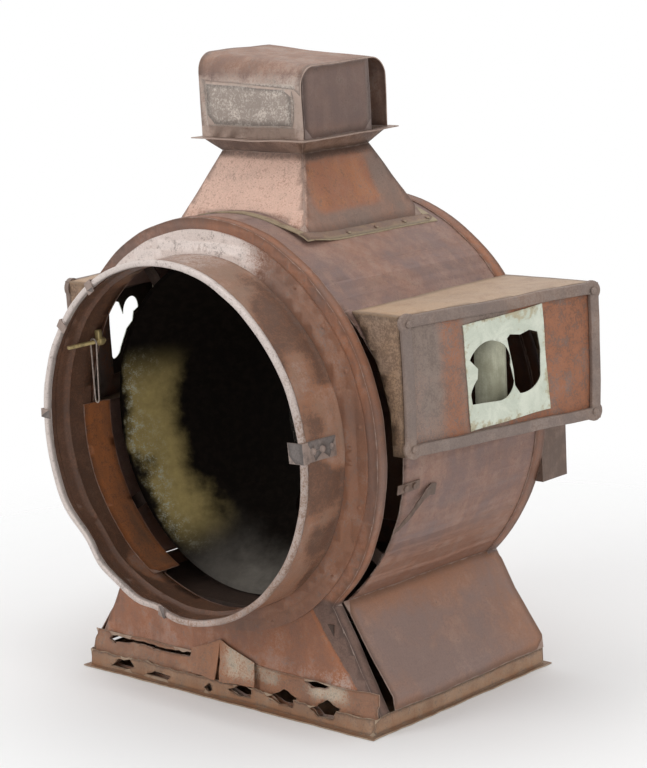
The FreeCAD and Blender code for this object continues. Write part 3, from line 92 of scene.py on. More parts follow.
# %% [markdown]
# Studio light: an even pale world does half of the work, one large soft lamp overhead brightens what faces
# up, and a weaker one stands at the front left. The camera, glossy and clear rays see a white world, so the
# background stays white without more light on the rust.

# %% Light
WORLD_LEVEL = 0.74


def soft_lamp(name, place, aim, size, watts):
    light = bpy.data.lights.new(name, "AREA")
    light.shape = "DISK"
    light.size = size
    light.energy = watts
    lamp = bpy.data.objects.new(name, light)
    lamp.location = place
    lamp.rotation_euler = (Vector(aim) - Vector(place)).to_track_quat("-Z", "Y").to_euler()
    bpy.context.scene.collection.objects.link(lamp)
    return lamp


soft_lamp("overhead", (-0.3, 0.1, 3.2), (0, 0, 0.4), 2.2, 22)
soft_lamp("front_left", (-1.6, -3.0, 1.9), (0, 0, 0.5), 1.6, 30)
soft_lamp("right", (3.2, -0.6, 1.8), (0, 0, 0.4), 1.6, 20)

world = bpy.data.worlds.new("studio")
bpy.context.scene.world = world
world.use_nodes = True
tree = world.node_tree
tree.nodes.clear()
paths = tree.nodes.new("ShaderNodeLightPath")
seen = tree.nodes.new("ShaderNodeMath")
seen.operation = "MAXIMUM"
seen_clear = tree.nodes.new("ShaderNodeMath")
seen_clear.operation = "MAXIMUM"
tree.links.new(paths.outputs["Is Camera Ray"], seen.inputs[0])
tree.links.new(paths.outputs["Is Transmission Ray"], seen.inputs[1])
tree.links.new(seen.outputs[0], seen_clear.inputs[0])
tree.links.new(paths.outputs["Is Glossy Ray"], seen_clear.inputs[1])
even = tree.nodes.new("ShaderNodeBackground")
even.inputs["Color"].default_value = (1, 1, 1, 1)
even.inputs["Strength"].default_value = WORLD_LEVEL
white = tree.nodes.new("ShaderNodeBackground")
white.inputs["Color"].default_value = (1, 1, 1, 1)
white.inputs["Strength"].default_value = 1.0
pick = tree.nodes.new("ShaderNodeMixShader")
tree.links.new(seen_clear.outputs[0], pick.inputs["Fac"])
tree.links.new(even.outputs[0], pick.inputs[1])
tree.links.new(white.outputs[0], pick.inputs[2])
world_out = tree.nodes.new("ShaderNodeOutputWorld")
tree.links.new(pick.outputs[0], world_out.inputs["Surface"])
bpy.context.scene.view_settings.view_transform = "Standard"

# %% [markdown]
# Shader maths reads best as maths. A Shade wraps one socket, and the operators on it add the Math nodes; any
# other node comes from Finish.add, which takes its settings first and then its inputs.

# %% Shader expressions


class Shade:
    """One value in a material; the operators add Math nodes."""

    def __init__(self, finish, socket):
        self.finish = finish
        self.socket = socket

    def maths(self, operation, first, second=0.0, third=0.0):
        return self.finish.add("ShaderNodeMath", {"operation": operation}, (first, second, third))

    def __add__(self, other):
        return self.maths("ADD", self, other)

    __radd__ = __add__

    def __sub__(self, other):
        return self.maths("SUBTRACT", self, other)

    def __rsub__(self, other):
        return self.maths("SUBTRACT", other, self)

    def __mul__(self, other):
        return self.maths("MULTIPLY", self, other)

    __rmul__ = __mul__

    def __pow__(self, other):
        return self.maths("POWER", self, other)

    def at_least(self, other):
        return self.maths("MAXIMUM", self, other)

    def size(self):
        return self.maths("ABSOLUTE", self)

    def between(self, low, high):
        """0 below low, 1 above high, smooth in between; high may be the lower one."""
        return self.finish.add("ShaderNodeMapRange", {"interpolation_type": "SMOOTHSTEP"},
                               (self, low, high, 0.0, 1.0))


class Finish:
    """A material whose nodes are added in code."""

    def __init__(self, name):
        self.material = bpy.data.materials.new(name)
        self.material.use_nodes = True
        self.tree = self.material.node_tree
        self.tree.nodes.clear()
        self.shader = self.tree.nodes.new("ShaderNodeBsdfPrincipled")
        output = self.tree.nodes.new("ShaderNodeOutputMaterial")
        self.tree.links.new(self.shader.outputs[0], output.inputs["Surface"])
        self.place = self.add("ShaderNodeTexCoord", {}, (), "Object")

    def plug(self, value, socket):
        if isinstance(value, Shade):
            self.tree.links.new(value.socket, socket)
        elif isinstance(value, (tuple, list)) and socket.type == "RGBA":
            socket.default_value = (*value[:3], 1.0)
        else:
            socket.default_value = value

    def add(self, kind, settings, values=(), output=0, **named):
        node = self.tree.nodes.new(kind)
        for name, setting in settings.items():
            setattr(node, name, setting)
        for socket, value in zip(node.inputs, values):
            self.plug(value, socket)
        for name, value in named.items():
            self.plug(value, node.inputs[name.replace("_", " ")])
        return Shade(self, node.outputs[output])

    def moved(self, offset=(0, 0, 0), stretch=(1, 1, 1)):
        return self.add("ShaderNodeMapping", {}, Vector=self.place, Location=offset, Scale=stretch)

    def noise(self, scale, detail=4.0, rough=0.6, twist=0.0, where=None):
        return self.add("ShaderNodeTexNoise", {}, (), "Fac", Vector=where or self.place, Scale=scale,
                        Detail=detail, Roughness=rough, Distortion=twist)

    def axes(self):
        parts = self.tree.nodes.new("ShaderNodeSeparateXYZ")
        self.tree.links.new(self.place.socket, parts.inputs[0])
        return [Shade(self, output) for output in parts.outputs]

    def mix(self, mask, under, over):
        node = self.tree.nodes.new("ShaderNodeMix")
        node.data_type = "RGBA"
        self.plug(mask, node.inputs[0])
        self.plug(under, node.inputs[6])
        self.plug(over, node.inputs[7])
        return Shade(self, node.outputs[2])

    def shaded(self, colour, factor):
        """The colour times a number that changes over the surface."""
        scaled = self.tree.nodes.new("ShaderNodeVectorMath")
        scaled.operation = "SCALE"
        self.plug(colour, scaled.inputs[0])
        self.plug(factor, scaled.inputs[3])
        return Shade(self, scaled.outputs[0])

    def bump(self, height, depth, under=None):
        named = {"Height": height, "Distance": depth, "Strength": 1.0}
        if under is not None:
            named["Normal"] = under
        return self.add("ShaderNodeBump", {}, (), 0, **named)

    def set(self, **sockets):
        for name, value in sockets.items():
            self.plug(value, self.shader.inputs[name.replace("_", " ")])
        return self.material


# %% [markdown]
# Rust is layers. A dull purple-brown field lies under everything; warmer orange-brown creeps in from edges and
# runs; a pale dusty bloom and dark pits break it up; and in some places the old zinc shows pale through it.
# Some layers also paint light: painted shade near sharp edges and a thin painted highlight on them. In a few
# zones the pale zinc is a painted highlight, and the dark of the pits is a painted shadow.
# One function builds them all from noises of a few sizes, and each sheet of the lamp asks for its own colours
# and amounts. Sizes are in metres, because the pattern reads Object coordinates.

# %% Rusted sheet
PALE_DUST = (0.43, 0.32, 0.27)
DEEP_BROWN = (0.085, 0.048, 0.034)
BARE_ZINC = (0.64, 0.56, 0.51)
NEAR_BLACK = (0.020, 0.013, 0.010)
BRIGHT_RUST = (0.44, 0.165, 0.06)


def rust(name, field, warm, warmth=0.4, paleness=0.3, darkness=0.2, bareness=0.0, pale=PALE_DUST, bare=BARE_ZINC,
         bright=0.3, offset=(0, 0, 0), zones=None, rough=0.52, tone=1.0):
    """Material of a rusted sheet; zones(finish, x, y, z) returns what a region adds to an amount."""
    finish = Finish(name)
    x, y, z = finish.axes()
    extra = zones(finish, x, y, z) if zones else {}
    finish.place = finish.moved(offset)
    broad = finish.noise(4.2, 3, 0.55)
    patch = finish.noise(15, 6, 0.62, 0.5)
    mottle = finish.noise(62, 6, 0.68)
    grain = finish.noise(330, 4, 0.75)
    speck = finish.noise(900, 2, 0.6)
    streak = finish.noise(46, 4, 0.6, 0.2, finish.moved((3.1, 0.7, 0.2), (1, 1, 0.12)))
    edge = finish.add("ShaderNodeAttribute", {"attribute_name": "edge"}, (), "Fac")

    def amount(pattern, share, soft, region):
        middle = 0.66 - 0.36 * share
        return (pattern + extra.get(region, 0.0)).between(middle - soft, middle + soft)

    worn = amount(broad * 0.35 + patch * 0.35 + mottle * 0.15 + streak * 0.15 + edge * 0.05, warmth, 0.11, "warm")
    colour = finish.mix(worn, field, warm)
    dusty = amount(mottle * 0.4 + patch * 0.25 + streak * 0.2 + grain * 0.15, paleness, 0.10, "pale")
    colour = finish.mix(dusty * 0.5, colour, pale)
    glow = mottle * 0.6 + patch * 0.4 + extra.get("bright", 0.0)
    glowing = worn * glow.between(0.66 - 0.3 * bright, 0.78 - 0.3 * bright)
    colour = finish.mix(glowing * 0.6, colour, BRIGHT_RUST)
    # Pale bare metal shows through. On the tray's lip, the top of the ring and the collar's bead it is partly a
    # painted highlight.
    scraped_and_highlit = None
    if bareness or "bare" in extra:
        scraped_and_highlit = amount(mottle * 0.3 + grain * 0.5 + patch * 0.2, bareness, 0.13, "bare")
        colour = finish.mix(scraped_and_highlit * 0.92, colour, bare)
    # Dark pits. Through the zones' dark amounts this mask also paints shadow under the vent's tray and on the base
    # rim under the side panel, and shade inside the collar.
    pits_and_shade = amount(mottle * 0.4 + grain * 0.6, darkness, 0.07, "dark")
    colour = finish.mix(pits_and_shade * 0.62, colour, DEEP_BROWN)
    # Near black where a zone asks for it; inside the collar this is painted shade.
    if "soot" in extra:
        colour = finish.mix((patch * 0.3 - 0.15 + extra["soot"]).between(0.0, 1.0), colour, NEAR_BLACK)
    # Near sharp edges and seams the colour is darkened: painted shade in the creases, with some grime.
    grime_and_edge_shade = (edge + (patch - 0.5) * 0.6).between(0.15, 0.95) * 0.42
    # The sharpest edges get a thin pale line: worn metal with a painted highlight.
    worn_and_highlit_edge = (edge + (mottle - 0.5) * 0.3).between(0.9, 1.03) * 0.6
    colour = finish.shaded(colour, (0.47 + 0.58 * grain + 0.46 * speck) * (1 - grime_and_edge_shade) * tone)
    if "soot" not in extra:
        colour = finish.mix(worn_and_highlit_edge, colour, (pale[0] * 1.1, pale[1] * 1.1, pale[2] * 1.1))
    height = grain * 0.5 + mottle * 0.6 + patch * 0.4 - pits_and_shade * 0.25 + speck * 0.2
    dents = finish.bump(broad + finish.noise(11, 2, 0.5), 0.005)
    gloss = rough + 0.2 * grain - 0.08 * patch
    if scraped_and_highlit is not None:
        gloss = gloss - scraped_and_highlit * 0.12
    finish.set(Base_Color=colour, Roughness=gloss, Normal=finish.bump(height, 0.0018, dents),
               Metallic=0.0 if scraped_and_highlit is None else scraped_and_highlit * 0.25)
    finish.shader.inputs["Specular IOR Level"].default_value = 0.45
    print("finish", name, len(finish.tree.nodes), "nodes")
    return finish.material


# %% [markdown]
# Each sheet aged in its own way, and zones say where, in metres on the lamp itself. The front of the vent and
# the pressed panel of the hood kept pale zinc, the vent's right side ran orange, the number box's roof dried to
# tan, its face went orange towards the rear, the top of the ring is pale, partly bare metal and partly a painted
# sheen, and the inside of the case is painted nearly black as shade. Some zones paint light: a highlight on the
# tray's lip and the collar's bead, shadow under the tray and above the base rim, and shade inside the collar.

# %% Finishes of the sheets


def reach_from_axis(x, z):
    """Distance of a point from the lamp's level axis."""
    return (x * x + (z - AXIS_HEIGHT) * (z - AXIS_HEIGHT)) ** 0.5


def hood_zones(finish, x, y, z):
    face = y.between(-0.058, -0.070) * z.between(0.885, 0.868)
    panel = y.between(-0.060, -0.0735) * x.size().between(0.090, 0.084) * z.between(0.806, 0.812)
    panel = panel * z.between(0.870, 0.864)
    return {"bare": panel * 0.23 + face * 0.09, "pale": face * 0.22,
            "dark": panel * 0.11 + z.between(0.88, 0.9) * 0.02,
            "warm": z.between(0.81, 0.797) * face * 0.2 + z.between(0.87, 0.9) * 0.06}


def smoke_box_zones(finish, x, y, z):
    return {"pale": y.between(0.060, 0.067) * 0.3,
            "warm": z.between(0.88, 0.896) * 0.2 + z.between(0.82, 0.8) * 0.06}


def vent_zones(finish, x, y, z):
    slope = (y + 0.108 - (z - 0.6634) * 0.51).between(0.010, 0.002)
    side = 1 - slope
    patch = side * (z - 0.725).size().between(0.042, 0.02) * y.size().between(0.075, 0.045)
    low = z.between(0.70, 0.675)
    # The top of the vent base, under the tray, is darkened: painted shadow.
    return {"bare": slope * 0.235 - slope * low * 0.05,
            "warm": patch * 0.3 - side * (1 - patch) * 0.06 + slope * low * 0.15,
            "dark": side * 0.03 + z.between(0.757, 0.768) * 0.12, "bright": patch * 0.1}


def tray_zones(finish, x, y, z):
    # The pale front and top of the tray's lip are a painted highlight.
    return {"bare": y.between(-0.06, -0.08) * 0.12 + z.between(0.784, 0.791) * 0.1,
            "warm": x.between(0.06, 0.1) * 0.05}


def saddle_zones(finish, x, y, z):
    rim = x.between(0.137, 0.1435) * y.between(-0.1, -0.06)
    return {"pale": rim * 0.3, "dark": y.between(-0.10, -0.118) * 0.08}


def drum_zones(finish, x, y, z):
    low = z.between(0.26, 0.18)
    front = y.between(-0.10, -0.165)
    return {"warm": low * 0.14 + z.between(0.42, 0.25) * 0.05 + front * 0.05,
            "pale": z.between(0.64, 0.69) * 0.03, "dark": front * 0.03}


def panel_zones(finish, x, y, z):
    upper = z.between(0.110, 0.165)
    sides = y.between(0.10, 0.165) * 0.7
    return {"warm": upper.at_least(sides) * 0.10 + z.between(0.045, 0.026) * 0.06}


def head_zones(finish, x, y, z):
    low = z.between(0.10, 0.05)
    foot = z.between(0.24, 0.12)
    scaly = low * y.between(-0.15, -0.17)
    strip = (x - 0.161 - (0.165 - z) * 0.70).between(0.0, 0.006) * z.between(0.18, 0.165)
    crease = (x - 0.163 - (0.165 - z) * 0.70).size().between(0.006, 0.001) * z.between(0.19, 0.17)
    right_foot = x.between(0.0, 0.15) * foot
    return {"warm": foot * 0.05 + scaly * 0.04 - strip * 0.25 + crease * 0.35,
            "bare": scaly * x.between(0.05, 0.2) * 0.10 - strip * 0.1,
            "dark": z.between(0.18, 0.3) * 0.01 + strip * 0.06, "pale": scaly * 0.08 - strip * 0.05,
            "bright": right_foot * z.between(0.09, 0.13) * 0.08}


def skirt_zones(finish, x, y, z):
    flakes = (x - 0.05).size().between(0.07, 0.03).at_least((x - 0.19).size().between(0.06, 0.02))
    return {"bare": flakes * z.between(0.026, 0.04) * 0.15, "warm": 0.05, "dark": z.between(0.02, 0.008) * 0.1}


def ring_zones(finish, x, y, z):
    # The pale top of the ring is partly scraped metal and partly a painted sheen.
    bare_and_sheen_top = z.between(0.56, 0.61) * x.between(0.15, 0.03)
    return {"bare": bare_and_sheen_top * 0.33, "warm": z.between(0.5, 0.3) * 0.05}


def collar_zones(finish, x, y, z):
    radius = reach_from_axis(x, z)
    # The collar's inside goes near black: painted shade inside the lamp.
    inside = radius.between(0.2536, 0.2530) * y.between(-0.2605, -0.2595)
    bead = y.between(-0.2600, -0.2615)
    # The bead is paler on its upper left: scraped metal and a painted highlight on the lit side.
    bare_and_highlit_bead = bead * (x - z * 0.9).between(0.0, -0.45)
    low = z.between(0.3, 0.16)
    # The collar's pale top is partly bare metal and partly a painted sheen.
    bare_and_sheen_top = z.between(0.58, 0.63) * x.between(0.1, 0.0)
    return {"warm": low * 0.06 + inside * 0.1 - bead * 0.1, "bare": bead * 0.10 + bare_and_highlit_bead * 0.22 + bare_and_sheen_top * 0.12,
            "pale": inside * -0.4, "dark": inside * 0.11 + low * 0.02, "soot": inside * 0.40}


def box_zones(finish, x, y, z):
    roof = z.between(0.572, 0.576)
    wall = y.between(-0.135, -0.143) * (1 - roof)
    return {"warm": roof * y.between(-0.02, -0.12) * 0.10, "pale": roof * 0.06 - wall * 0.2, "dark": wall * 0.12,
            "soot": wall * 0.22}


def face_zones(finish, x, y, z):
    rear = y.between(0.02, 0.06)
    return {"warm": rear * 0.35 - (1 - rear) * 0.04 + (y + 0.06).size().between(0.03, 0.006) * 0.14,
            "bare": y.between(0.0, -0.03) * 0.03, "dark": 0.02}


def base_zones(finish, x, y, z):
    # The top of the base rim, under the side panel's edge, is darkened: painted shadow.
    return {"pale": x.between(0.24, 0.283) * 0.05, "warm": z.between(0.02, 0.0) * 0.10,
            "bare": x.between(0.285, 0.292) * 0.04, "dark": z.between(0.018, 0.026) * 0.06}


FINISHES = {
    "drum": rust("drum_rust", (0.215, 0.142, 0.126), (0.30, 0.150, 0.098), 0.37, 0.30, 0.18, bright=0.1,
                 offset=(0.4, 0, 0), zones=drum_zones),
    "head": rust("head_rust", (0.185, 0.108, 0.082), (0.33, 0.125, 0.056), 0.42, 0.22, 0.22, bright=0.25,
                 offset=(1.3, 0, 0), zones=head_zones),
    "panel": rust("panel_rust", (0.240, 0.158, 0.132), (0.315, 0.150, 0.085), 0.32, 0.2, 0.14, bright=0.1,
                  offset=(2.2, 0, 0), zones=panel_zones),
    "hood": rust("hood_rust", (0.185, 0.118, 0.098), (0.27, 0.145, 0.095), 0.4, 0.3, 0.25, 0.08,
                 pale=(0.56, 0.42, 0.35), bare=(0.66, 0.58, 0.51), offset=(0, 3, 0), zones=hood_zones, bright=0.0),
    "vent": rust("vent_rust", (0.225, 0.150, 0.118), (0.33, 0.135, 0.072), 0.35, 0.30, 0.2, 0.02,
                 pale=(0.40, 0.31, 0.26), bare=(0.70, 0.47, 0.375), offset=(0, 3, 1), zones=vent_zones, bright=0.4),
    "tray": rust("tray_rust", (0.16, 0.105, 0.085), (0.27, 0.16, 0.105), 0.35, 0.3, 0.25, 0.1,
                 bare=(0.58, 0.42, 0.34), offset=(0, 3, 2), zones=tray_zones, bright=0.0),
    "saddle": rust("saddle_rust", (0.215, 0.145, 0.115), (0.31, 0.17, 0.10), 0.35, 0.25, 0.2,
                   pale=(0.44, 0.36, 0.23), offset=(0, 4, 2), zones=saddle_zones, bright=0.1),
    "inner_box": rust("smoke_box_rust", (0.150, 0.098, 0.085), (0.20, 0.115, 0.085), 0.4, 0.3, 0.26,
                      pale=(0.30, 0.23, 0.205), offset=(0, 5, 0), zones=smoke_box_zones, bright=0.0),
    "box": rust("box_rust", (0.36, 0.245, 0.17), (0.42, 0.26, 0.15), 0.4, 0.35, 0.12, pale=(0.50, 0.38, 0.28),
                bright=0.0, offset=(4, 0, 0), zones=box_zones),
    "bars": rust("bar_rust", (0.20, 0.150, 0.128), (0.27, 0.165, 0.11), 0.25, 0.3, 0.2, 0.12,
                 pale=(0.32, 0.26, 0.23), bare=(0.42, 0.37, 0.34), bright=0.0, offset=(6, 0, 0), rough=0.5),
    "face": rust("face_rust", (0.265, 0.200, 0.165), (0.345, 0.140, 0.072), 0.34, 0.25, 0.34, 0.12,
                 bare=(0.52, 0.46, 0.43), bright=0.2, offset=(0, 0, 2), zones=face_zones),
    "ring": rust("ring_rust", (0.20, 0.110, 0.078), (0.30, 0.135, 0.075), 0.4, 0.25, 0.25, 0.03,
                 bare=(0.78, 0.68, 0.63), bright=0.15, offset=(0, 7, 0), zones=ring_zones),
    "collar": rust("collar_rust", (0.250, 0.152, 0.105), (0.315, 0.140, 0.075), 0.42, 0.28, 0.22, 0.03,
                   bright=0.2, bare=(0.66, 0.58, 0.54), offset=(0, 0, 5), zones=collar_zones, rough=0.46),
    "clips": rust("clip_rust", (0.14, 0.115, 0.105), (0.2, 0.13, 0.09), 0.25, 0.2, 0.25, 0.2,
                  bare=(0.36, 0.33, 0.32), bright=0.0, rough=0.48),
    "liner": rust("liner_rust", (0.20, 0.095, 0.05), (0.50, 0.165, 0.05), 0.55, 0.0, 0.34, bright=0.5,
                  offset=(0, 2, 2)),
    # Near black and toned down: painted shade inside the case, over dark rust.
    "inside": rust("inside_rust_and_shade", (0.050, 0.030, 0.022), (0.08, 0.045, 0.03), 0.3, 0.1, 0.3, bright=0.0, tone=0.8),
    "base": rust("base_rust", (0.25, 0.150, 0.095), (0.33, 0.165, 0.085), 0.45, 0.32, 0.28, 0.03,
                 pale=(0.50, 0.38, 0.27), offset=(5, 5, 0), zones=base_zones, bright=0.15),
    "skirt": rust("skirt_rust", (0.19, 0.110, 0.078), (0.34, 0.148, 0.072), 0.42, 0.28, 0.32, 0.04,
                  pale=(0.48, 0.36, 0.27), bare=(0.70, 0.63, 0.50), offset=(5, 2, 0), zones=skirt_zones, bright=0.3),
    "wire": rust("wire_zinc", (0.42, 0.36, 0.31), (0.30, 0.2, 0.15), 0.3, 0.4, 0.1, 0.3, bright=0.0),
    "fittings": rust("fitting_rust", (0.125, 0.082, 0.062), (0.21, 0.11, 0.065), 0.35, 0.25, 0.25, bright=0.1),
}


def brass_finish():
    finish = Finish("dull_brass")
    mottle = finish.noise(90, 5, 0.65)
    grain = finish.noise(600, 3, 0.6)
    colour = finish.mix(mottle.between(0.4, 0.62), (0.62, 0.50, 0.24), (0.36, 0.27, 0.14))
    colour = finish.mix((mottle + grain * 0.3).between(0.76, 0.9), colour, (0.14, 0.18, 0.13))
    return finish.set(Base_Color=finish.shaded(colour, 0.8 + 0.4 * grain), Metallic=0.6,
                      Roughness=0.42 + 0.25 * mottle, Normal=finish.bump(grain + mottle, 0.0003))


def plate_finish():
    """Pale enamel plate: chalky green-white, browner at its edges and round the broken openings."""
    finish = Finish("chalky_plate")
    x, y, z = finish.axes()
    patch = finish.noise(28, 6, 0.65, 0.8)
    mottle = finish.noise(120, 5, 0.65)
    grain = finish.noise(700, 3, 0.6)
    edge = (z - 0.481).size().between(0.058, 0.074).at_least((y - 0.0286).size().between(0.058, 0.072))
    stain = (patch * 0.5 + mottle * 0.5 + edge * 0.12).between(0.56, 0.66)
    colour = finish.mix(patch.between(0.35, 0.6), (0.68, 0.71, 0.60), (0.56, 0.60, 0.50))
    colour = finish.mix(stain * 0.7, colour, (0.44, 0.36, 0.21))
    chipped = (mottle * 0.6 + grain * 0.4 + edge * 0.05).between(0.64, 0.69)
    colour = finish.mix(chipped, colour, (0.2, 0.15, 0.11))
    return finish.set(Base_Color=finish.shaded(colour, 0.86 + 0.28 * grain), Metallic=0.0,
                      Roughness=0.5 + 0.25 * patch, Normal=finish.bump(mottle - chipped, 0.0004))


def shield_finish():
    finish = Finish("shield_paint")
    patch = finish.noise(22, 6, 0.6)
    grain = finish.noise(500, 3, 0.6)
    streak = finish.noise(60, 4, 0.6, 0.0, finish.moved((0, 0, 0), (1, 1, 0.1)))
    colour = finish.mix((patch * 0.6 + streak * 0.4).between(0.4, 0.6), (0.56, 0.56, 0.42), (0.34, 0.33, 0.23))
    return finish.set(Base_Color=finish.shaded(colour, 0.8 + 0.4 * grain), Metallic=0.0, Roughness=0.6,
                      Normal=finish.bump(grain, 0.0003))


def bowl_finish():
    """Tarnished bowl: nearly black, with a painted yellow reflection crescent at the left and a painted grey
    reflection low down.
    """
    finish = Finish("tarnished_bowl_painted_reflections")
    x, y, z = finish.axes()
    patch = finish.noise(14, 5, 0.6)
    mottle = finish.noise(85, 5, 0.65)
    grain = finish.noise(420, 3, 0.7)
    radius = reach_from_axis(x, z) + patch * 0.05 - 0.025
    crescent = radius.between(0.186, 0.213)
    reflection_band = crescent * radius.between(0.243, 0.229) * x.between(-0.07, -0.15) * z.between(0.49, 0.40)
    reflection_band = reflection_band * z.between(0.17, 0.25)
    low = radius.between(0.175, 0.235) * z.between(0.3, 0.19) * x.between(-0.16, 0.0)
    colour = finish.mix(mottle.between(0.4, 0.65), (0.0045, 0.0030, 0.0020), (0.008, 0.0055, 0.004))
    # The yellow band is a painted reflection of the surroundings in the bowl.
    colour = finish.mix(reflection_band * (0.75 + 0.25 * mottle), colour, (0.43, 0.335, 0.135))
    # Its pale flecks are painted glints.
    reflection_glint = reflection_band * radius.between(0.215, 0.236) * (mottle * 0.5 + grain * 0.5).between(0.5, 0.58)
    colour = finish.mix(reflection_glint, colour, (0.42, 0.46, 0.40))
    # The dull grey patch low down is a painted reflection as well.
    colour = finish.mix(low * (0.55 + 0.6 * patch), colour, (0.17, 0.155, 0.135))
    scratched = (grain * 0.7 + mottle * 0.3).between(0.66, 0.72) * (reflection_band + low)
    colour = finish.mix(scratched, colour, (0.5, 0.47, 0.38))
    finish.shader.inputs["Specular IOR Level"].default_value = 0.06
    return finish.set(Base_Color=finish.shaded(colour, 0.7 + 0.6 * mottle), Metallic=0.0,
                      Roughness=0.6 + 0.2 * mottle, Normal=finish.bump(mottle, 0.0003))


def glass_finish():
    finish = Finish("sooty_glass")
    dust = finish.noise(40, 5, 0.6).between(0.4, 0.7)
    finish.shader.inputs["Specular IOR Level"].default_value = 0.2
    return finish.set(Base_Color=finish.mix(dust, (0.05, 0.045, 0.04), (0.018, 0.014, 0.011)), Metallic=0.0,
                      Roughness=0.3 + 0.35 * dust, Alpha=0.35 + 0.5 * dust)


FINISHES.update(brass=brass_finish(), plate=plate_finish(), shield=shield_finish(), bowl=bowl_finish(),
                glass=glass_finish())

# %% Which sheet wears which finish
WEARS = {
    "drum": ["drum_shell"], "head": ["front_head", "rear_head"],
    "panel": ["side_panel_right", "side_panel_left", "rear_door"],
    "vent": ["vent_base"], "tray": ["vent_tray"], "saddle": ["vent_saddle"], "hood": ["vent_hood"],
    "inner_box": ["vent_inner_box"],
    "box": ["number_case_right", "number_case_left"],
    "bars": ["number_frame_right", "number_frame_left", "number_rivets_right", "number_rivets_left"],
    "face": ["number_face_right", "number_face_left"],
    "plate": ["number_plate_right", "number_plate_left"],
    "shield": ["light_shield_right", "light_shield_left"],
    "ring": ["goggle_ring"], "collar": ["goggle_collar", "glass_seat"], "clips": ["glass_clips"],
    "liner": ["liner_band"], "inside": ["lamp_shelf", "flue", "reflector_brackets"],
    "base": ["base_plate", "base_rim"], "skirt": ["front_skirt"],
    "brass": ["brass_rod", "brass_nut", "burner", "wick_knob", "filler_cap", "lamp_fount"],
    "bowl": ["reflector"], "glass": ["lamp_chimney"],
    "fittings": ["hinge_leaf_case", "hinge_leaf_goggle", "hinge_pin", "latch_strap", "rear_hinge_case",
                 "rear_hinge_door", "rear_hinge_pin", "rear_bracket", "rear_door_knob"],
    "wire": ["wire_link"],
}
FINISH_OF = {node: FINISHES[finish] for finish, nodes in WEARS.items() for node in nodes}
for node, piece in NODES.items():
    piece.data.materials.clear()
    piece.data.materials.append(FINISH_OF[node])
print("finishes", len(FINISHES))

# %% [markdown]
# A sheet that has been knocked about is never flat. Every point of a bent sheet is moved a little by one field
# that is the same for all sheets: low waves, and a few dents where the photograph shows them. Because they
# share the field, pieces that touch stay in touch. Two bends belong to their own sheets: the right-hand edge
# of the front head, which is folded back along a crease, and the front right corner of the saddle, which has
# sprung up. The field itself also leans the hood's roof to the right.

# %% How the metal is bent
WAVE = 0.0024
DENTS = [
    # place, reach, push
    (Vector((-0.196, -0.268, 0.225)), 0.05, Vector((0.012, 0.0, 0.006))),
    (Vector((-0.13, -0.27, 0.165)), 0.04, Vector((0.002, 0.0, 0.006))),
    (Vector((-0.05, -0.268, 0.137)), 0.035, Vector((0.0, 0.003, 0.007))),
    (Vector((0.29, -0.16, 0.2)), 0.07, Vector((0.004, 0.006, 0.0))),
    (Vector((0.05, -0.19, 0.03)), 0.06, Vector((0.0, 0.005, 0.0))),
    (Vector((-0.17, -0.19, 0.03)), 0.05, Vector((0.0, 0.004, 0.0))),
    (Vector((0.0, -0.1, 0.79)), 0.05, Vector((0.0, 0.003, -0.003))),
]


def fade(value, low, high):
    share = min(1.0, max(0.0, (value - low) / (high - low)))
    return share * share * (3 - 2 * share)


def bent(point, wave=WAVE):
    """Where a point of flat sheet is now."""
    push = noise.noise_vector(point * 6.5) * wave
    push += noise.noise_vector(point * 22 + Vector((7, 3, 1))) * wave * 0.45
    for place, reach, depth in DENTS:
        gap = (point - place).length / reach
        if gap < 2:
            push = push + depth * math.exp(-gap * gap * 1.6)
    if point.z > 0.8:
        push.z += fade(point.z, 0.835, 0.89) * (0.0015 - 0.085 * point.x)
    floor = fade(point.z, 0.002, 0.03)
    return point + Vector((push.x, push.y, push.z * floor))


def creased_head(point):
    """The pedestal's right-hand edge leans back from a crease."""
    moved = bent(point)
    if point.z < 0.175 and point.y < -0.15:
        crease = 0.166 + (0.165 - point.z) * 0.685
        if point.x > crease:
            lean = min(0.006, (point.x - crease) * 0.3)
            moved.y += lean * fade(point.z, 0.18, 0.16) * fade(point.z, -0.01, 0.02)
    return moved


def eaten_skirt(point):
    """Rust has eaten the foot of the front, so its holes and edges are jagged."""
    moved = creased_head(point)
    if point.y < -0.17 and 0.004 < point.z < 0.052:
        bite = noise.noise_vector(point * 95) * 0.0034 + noise.noise_vector(point * 210) * 0.0018
        moved += Vector((bite.x, 0, bite.z * 0.7)) * fade(point.z, 0.004, 0.012)
    return moved


def proud_panel(point):
    """The side panel stands a little proud of the two heads and ends above the base."""
    moved = bent(Vector((point.x, point.y, 0.0275 + (point.z - 0.0018) * 0.8435)))
    slope = (0.0814 / 0.1641) * (moved.z - point.z)
    moved.x += math.copysign(0.0052 - slope, point.x) * fade(point.z, 0.17, 0.15)
    moved.y += 0.0060 * fade(point.y, -0.13, -0.15)
    return moved


def raised_openings(point):
    """The left plate's broken openings lie a little higher than the right one's."""
    moved = bent(point)
    inner = fade(point.z, 0.4045, 0.43) * fade(point.z, 0.5575, 0.535)
    moved.z += 0.015 * inner * fade(abs(point.y - 0.0071), 0.072, 0.06)
    return moved


def ragged_base(point):
    """The base sheet stays flat on the ground, and only its edges wander."""
    push = noise.noise_vector(point * 14) * 0.0035 + noise.noise_vector(point * 55) * 0.0016
    inward = Vector((-math.copysign(1, point.x), -math.copysign(1, point.y), 0))
    rim = Vector((fade(abs(point.x), 0.284, 0.2915), fade(abs(point.y), 0.192, 0.2), 0))
    shift = Vector((inward.x * abs(push.x) * rim.x, inward.y * abs(push.y) * rim.y, 0))
    return point + shift


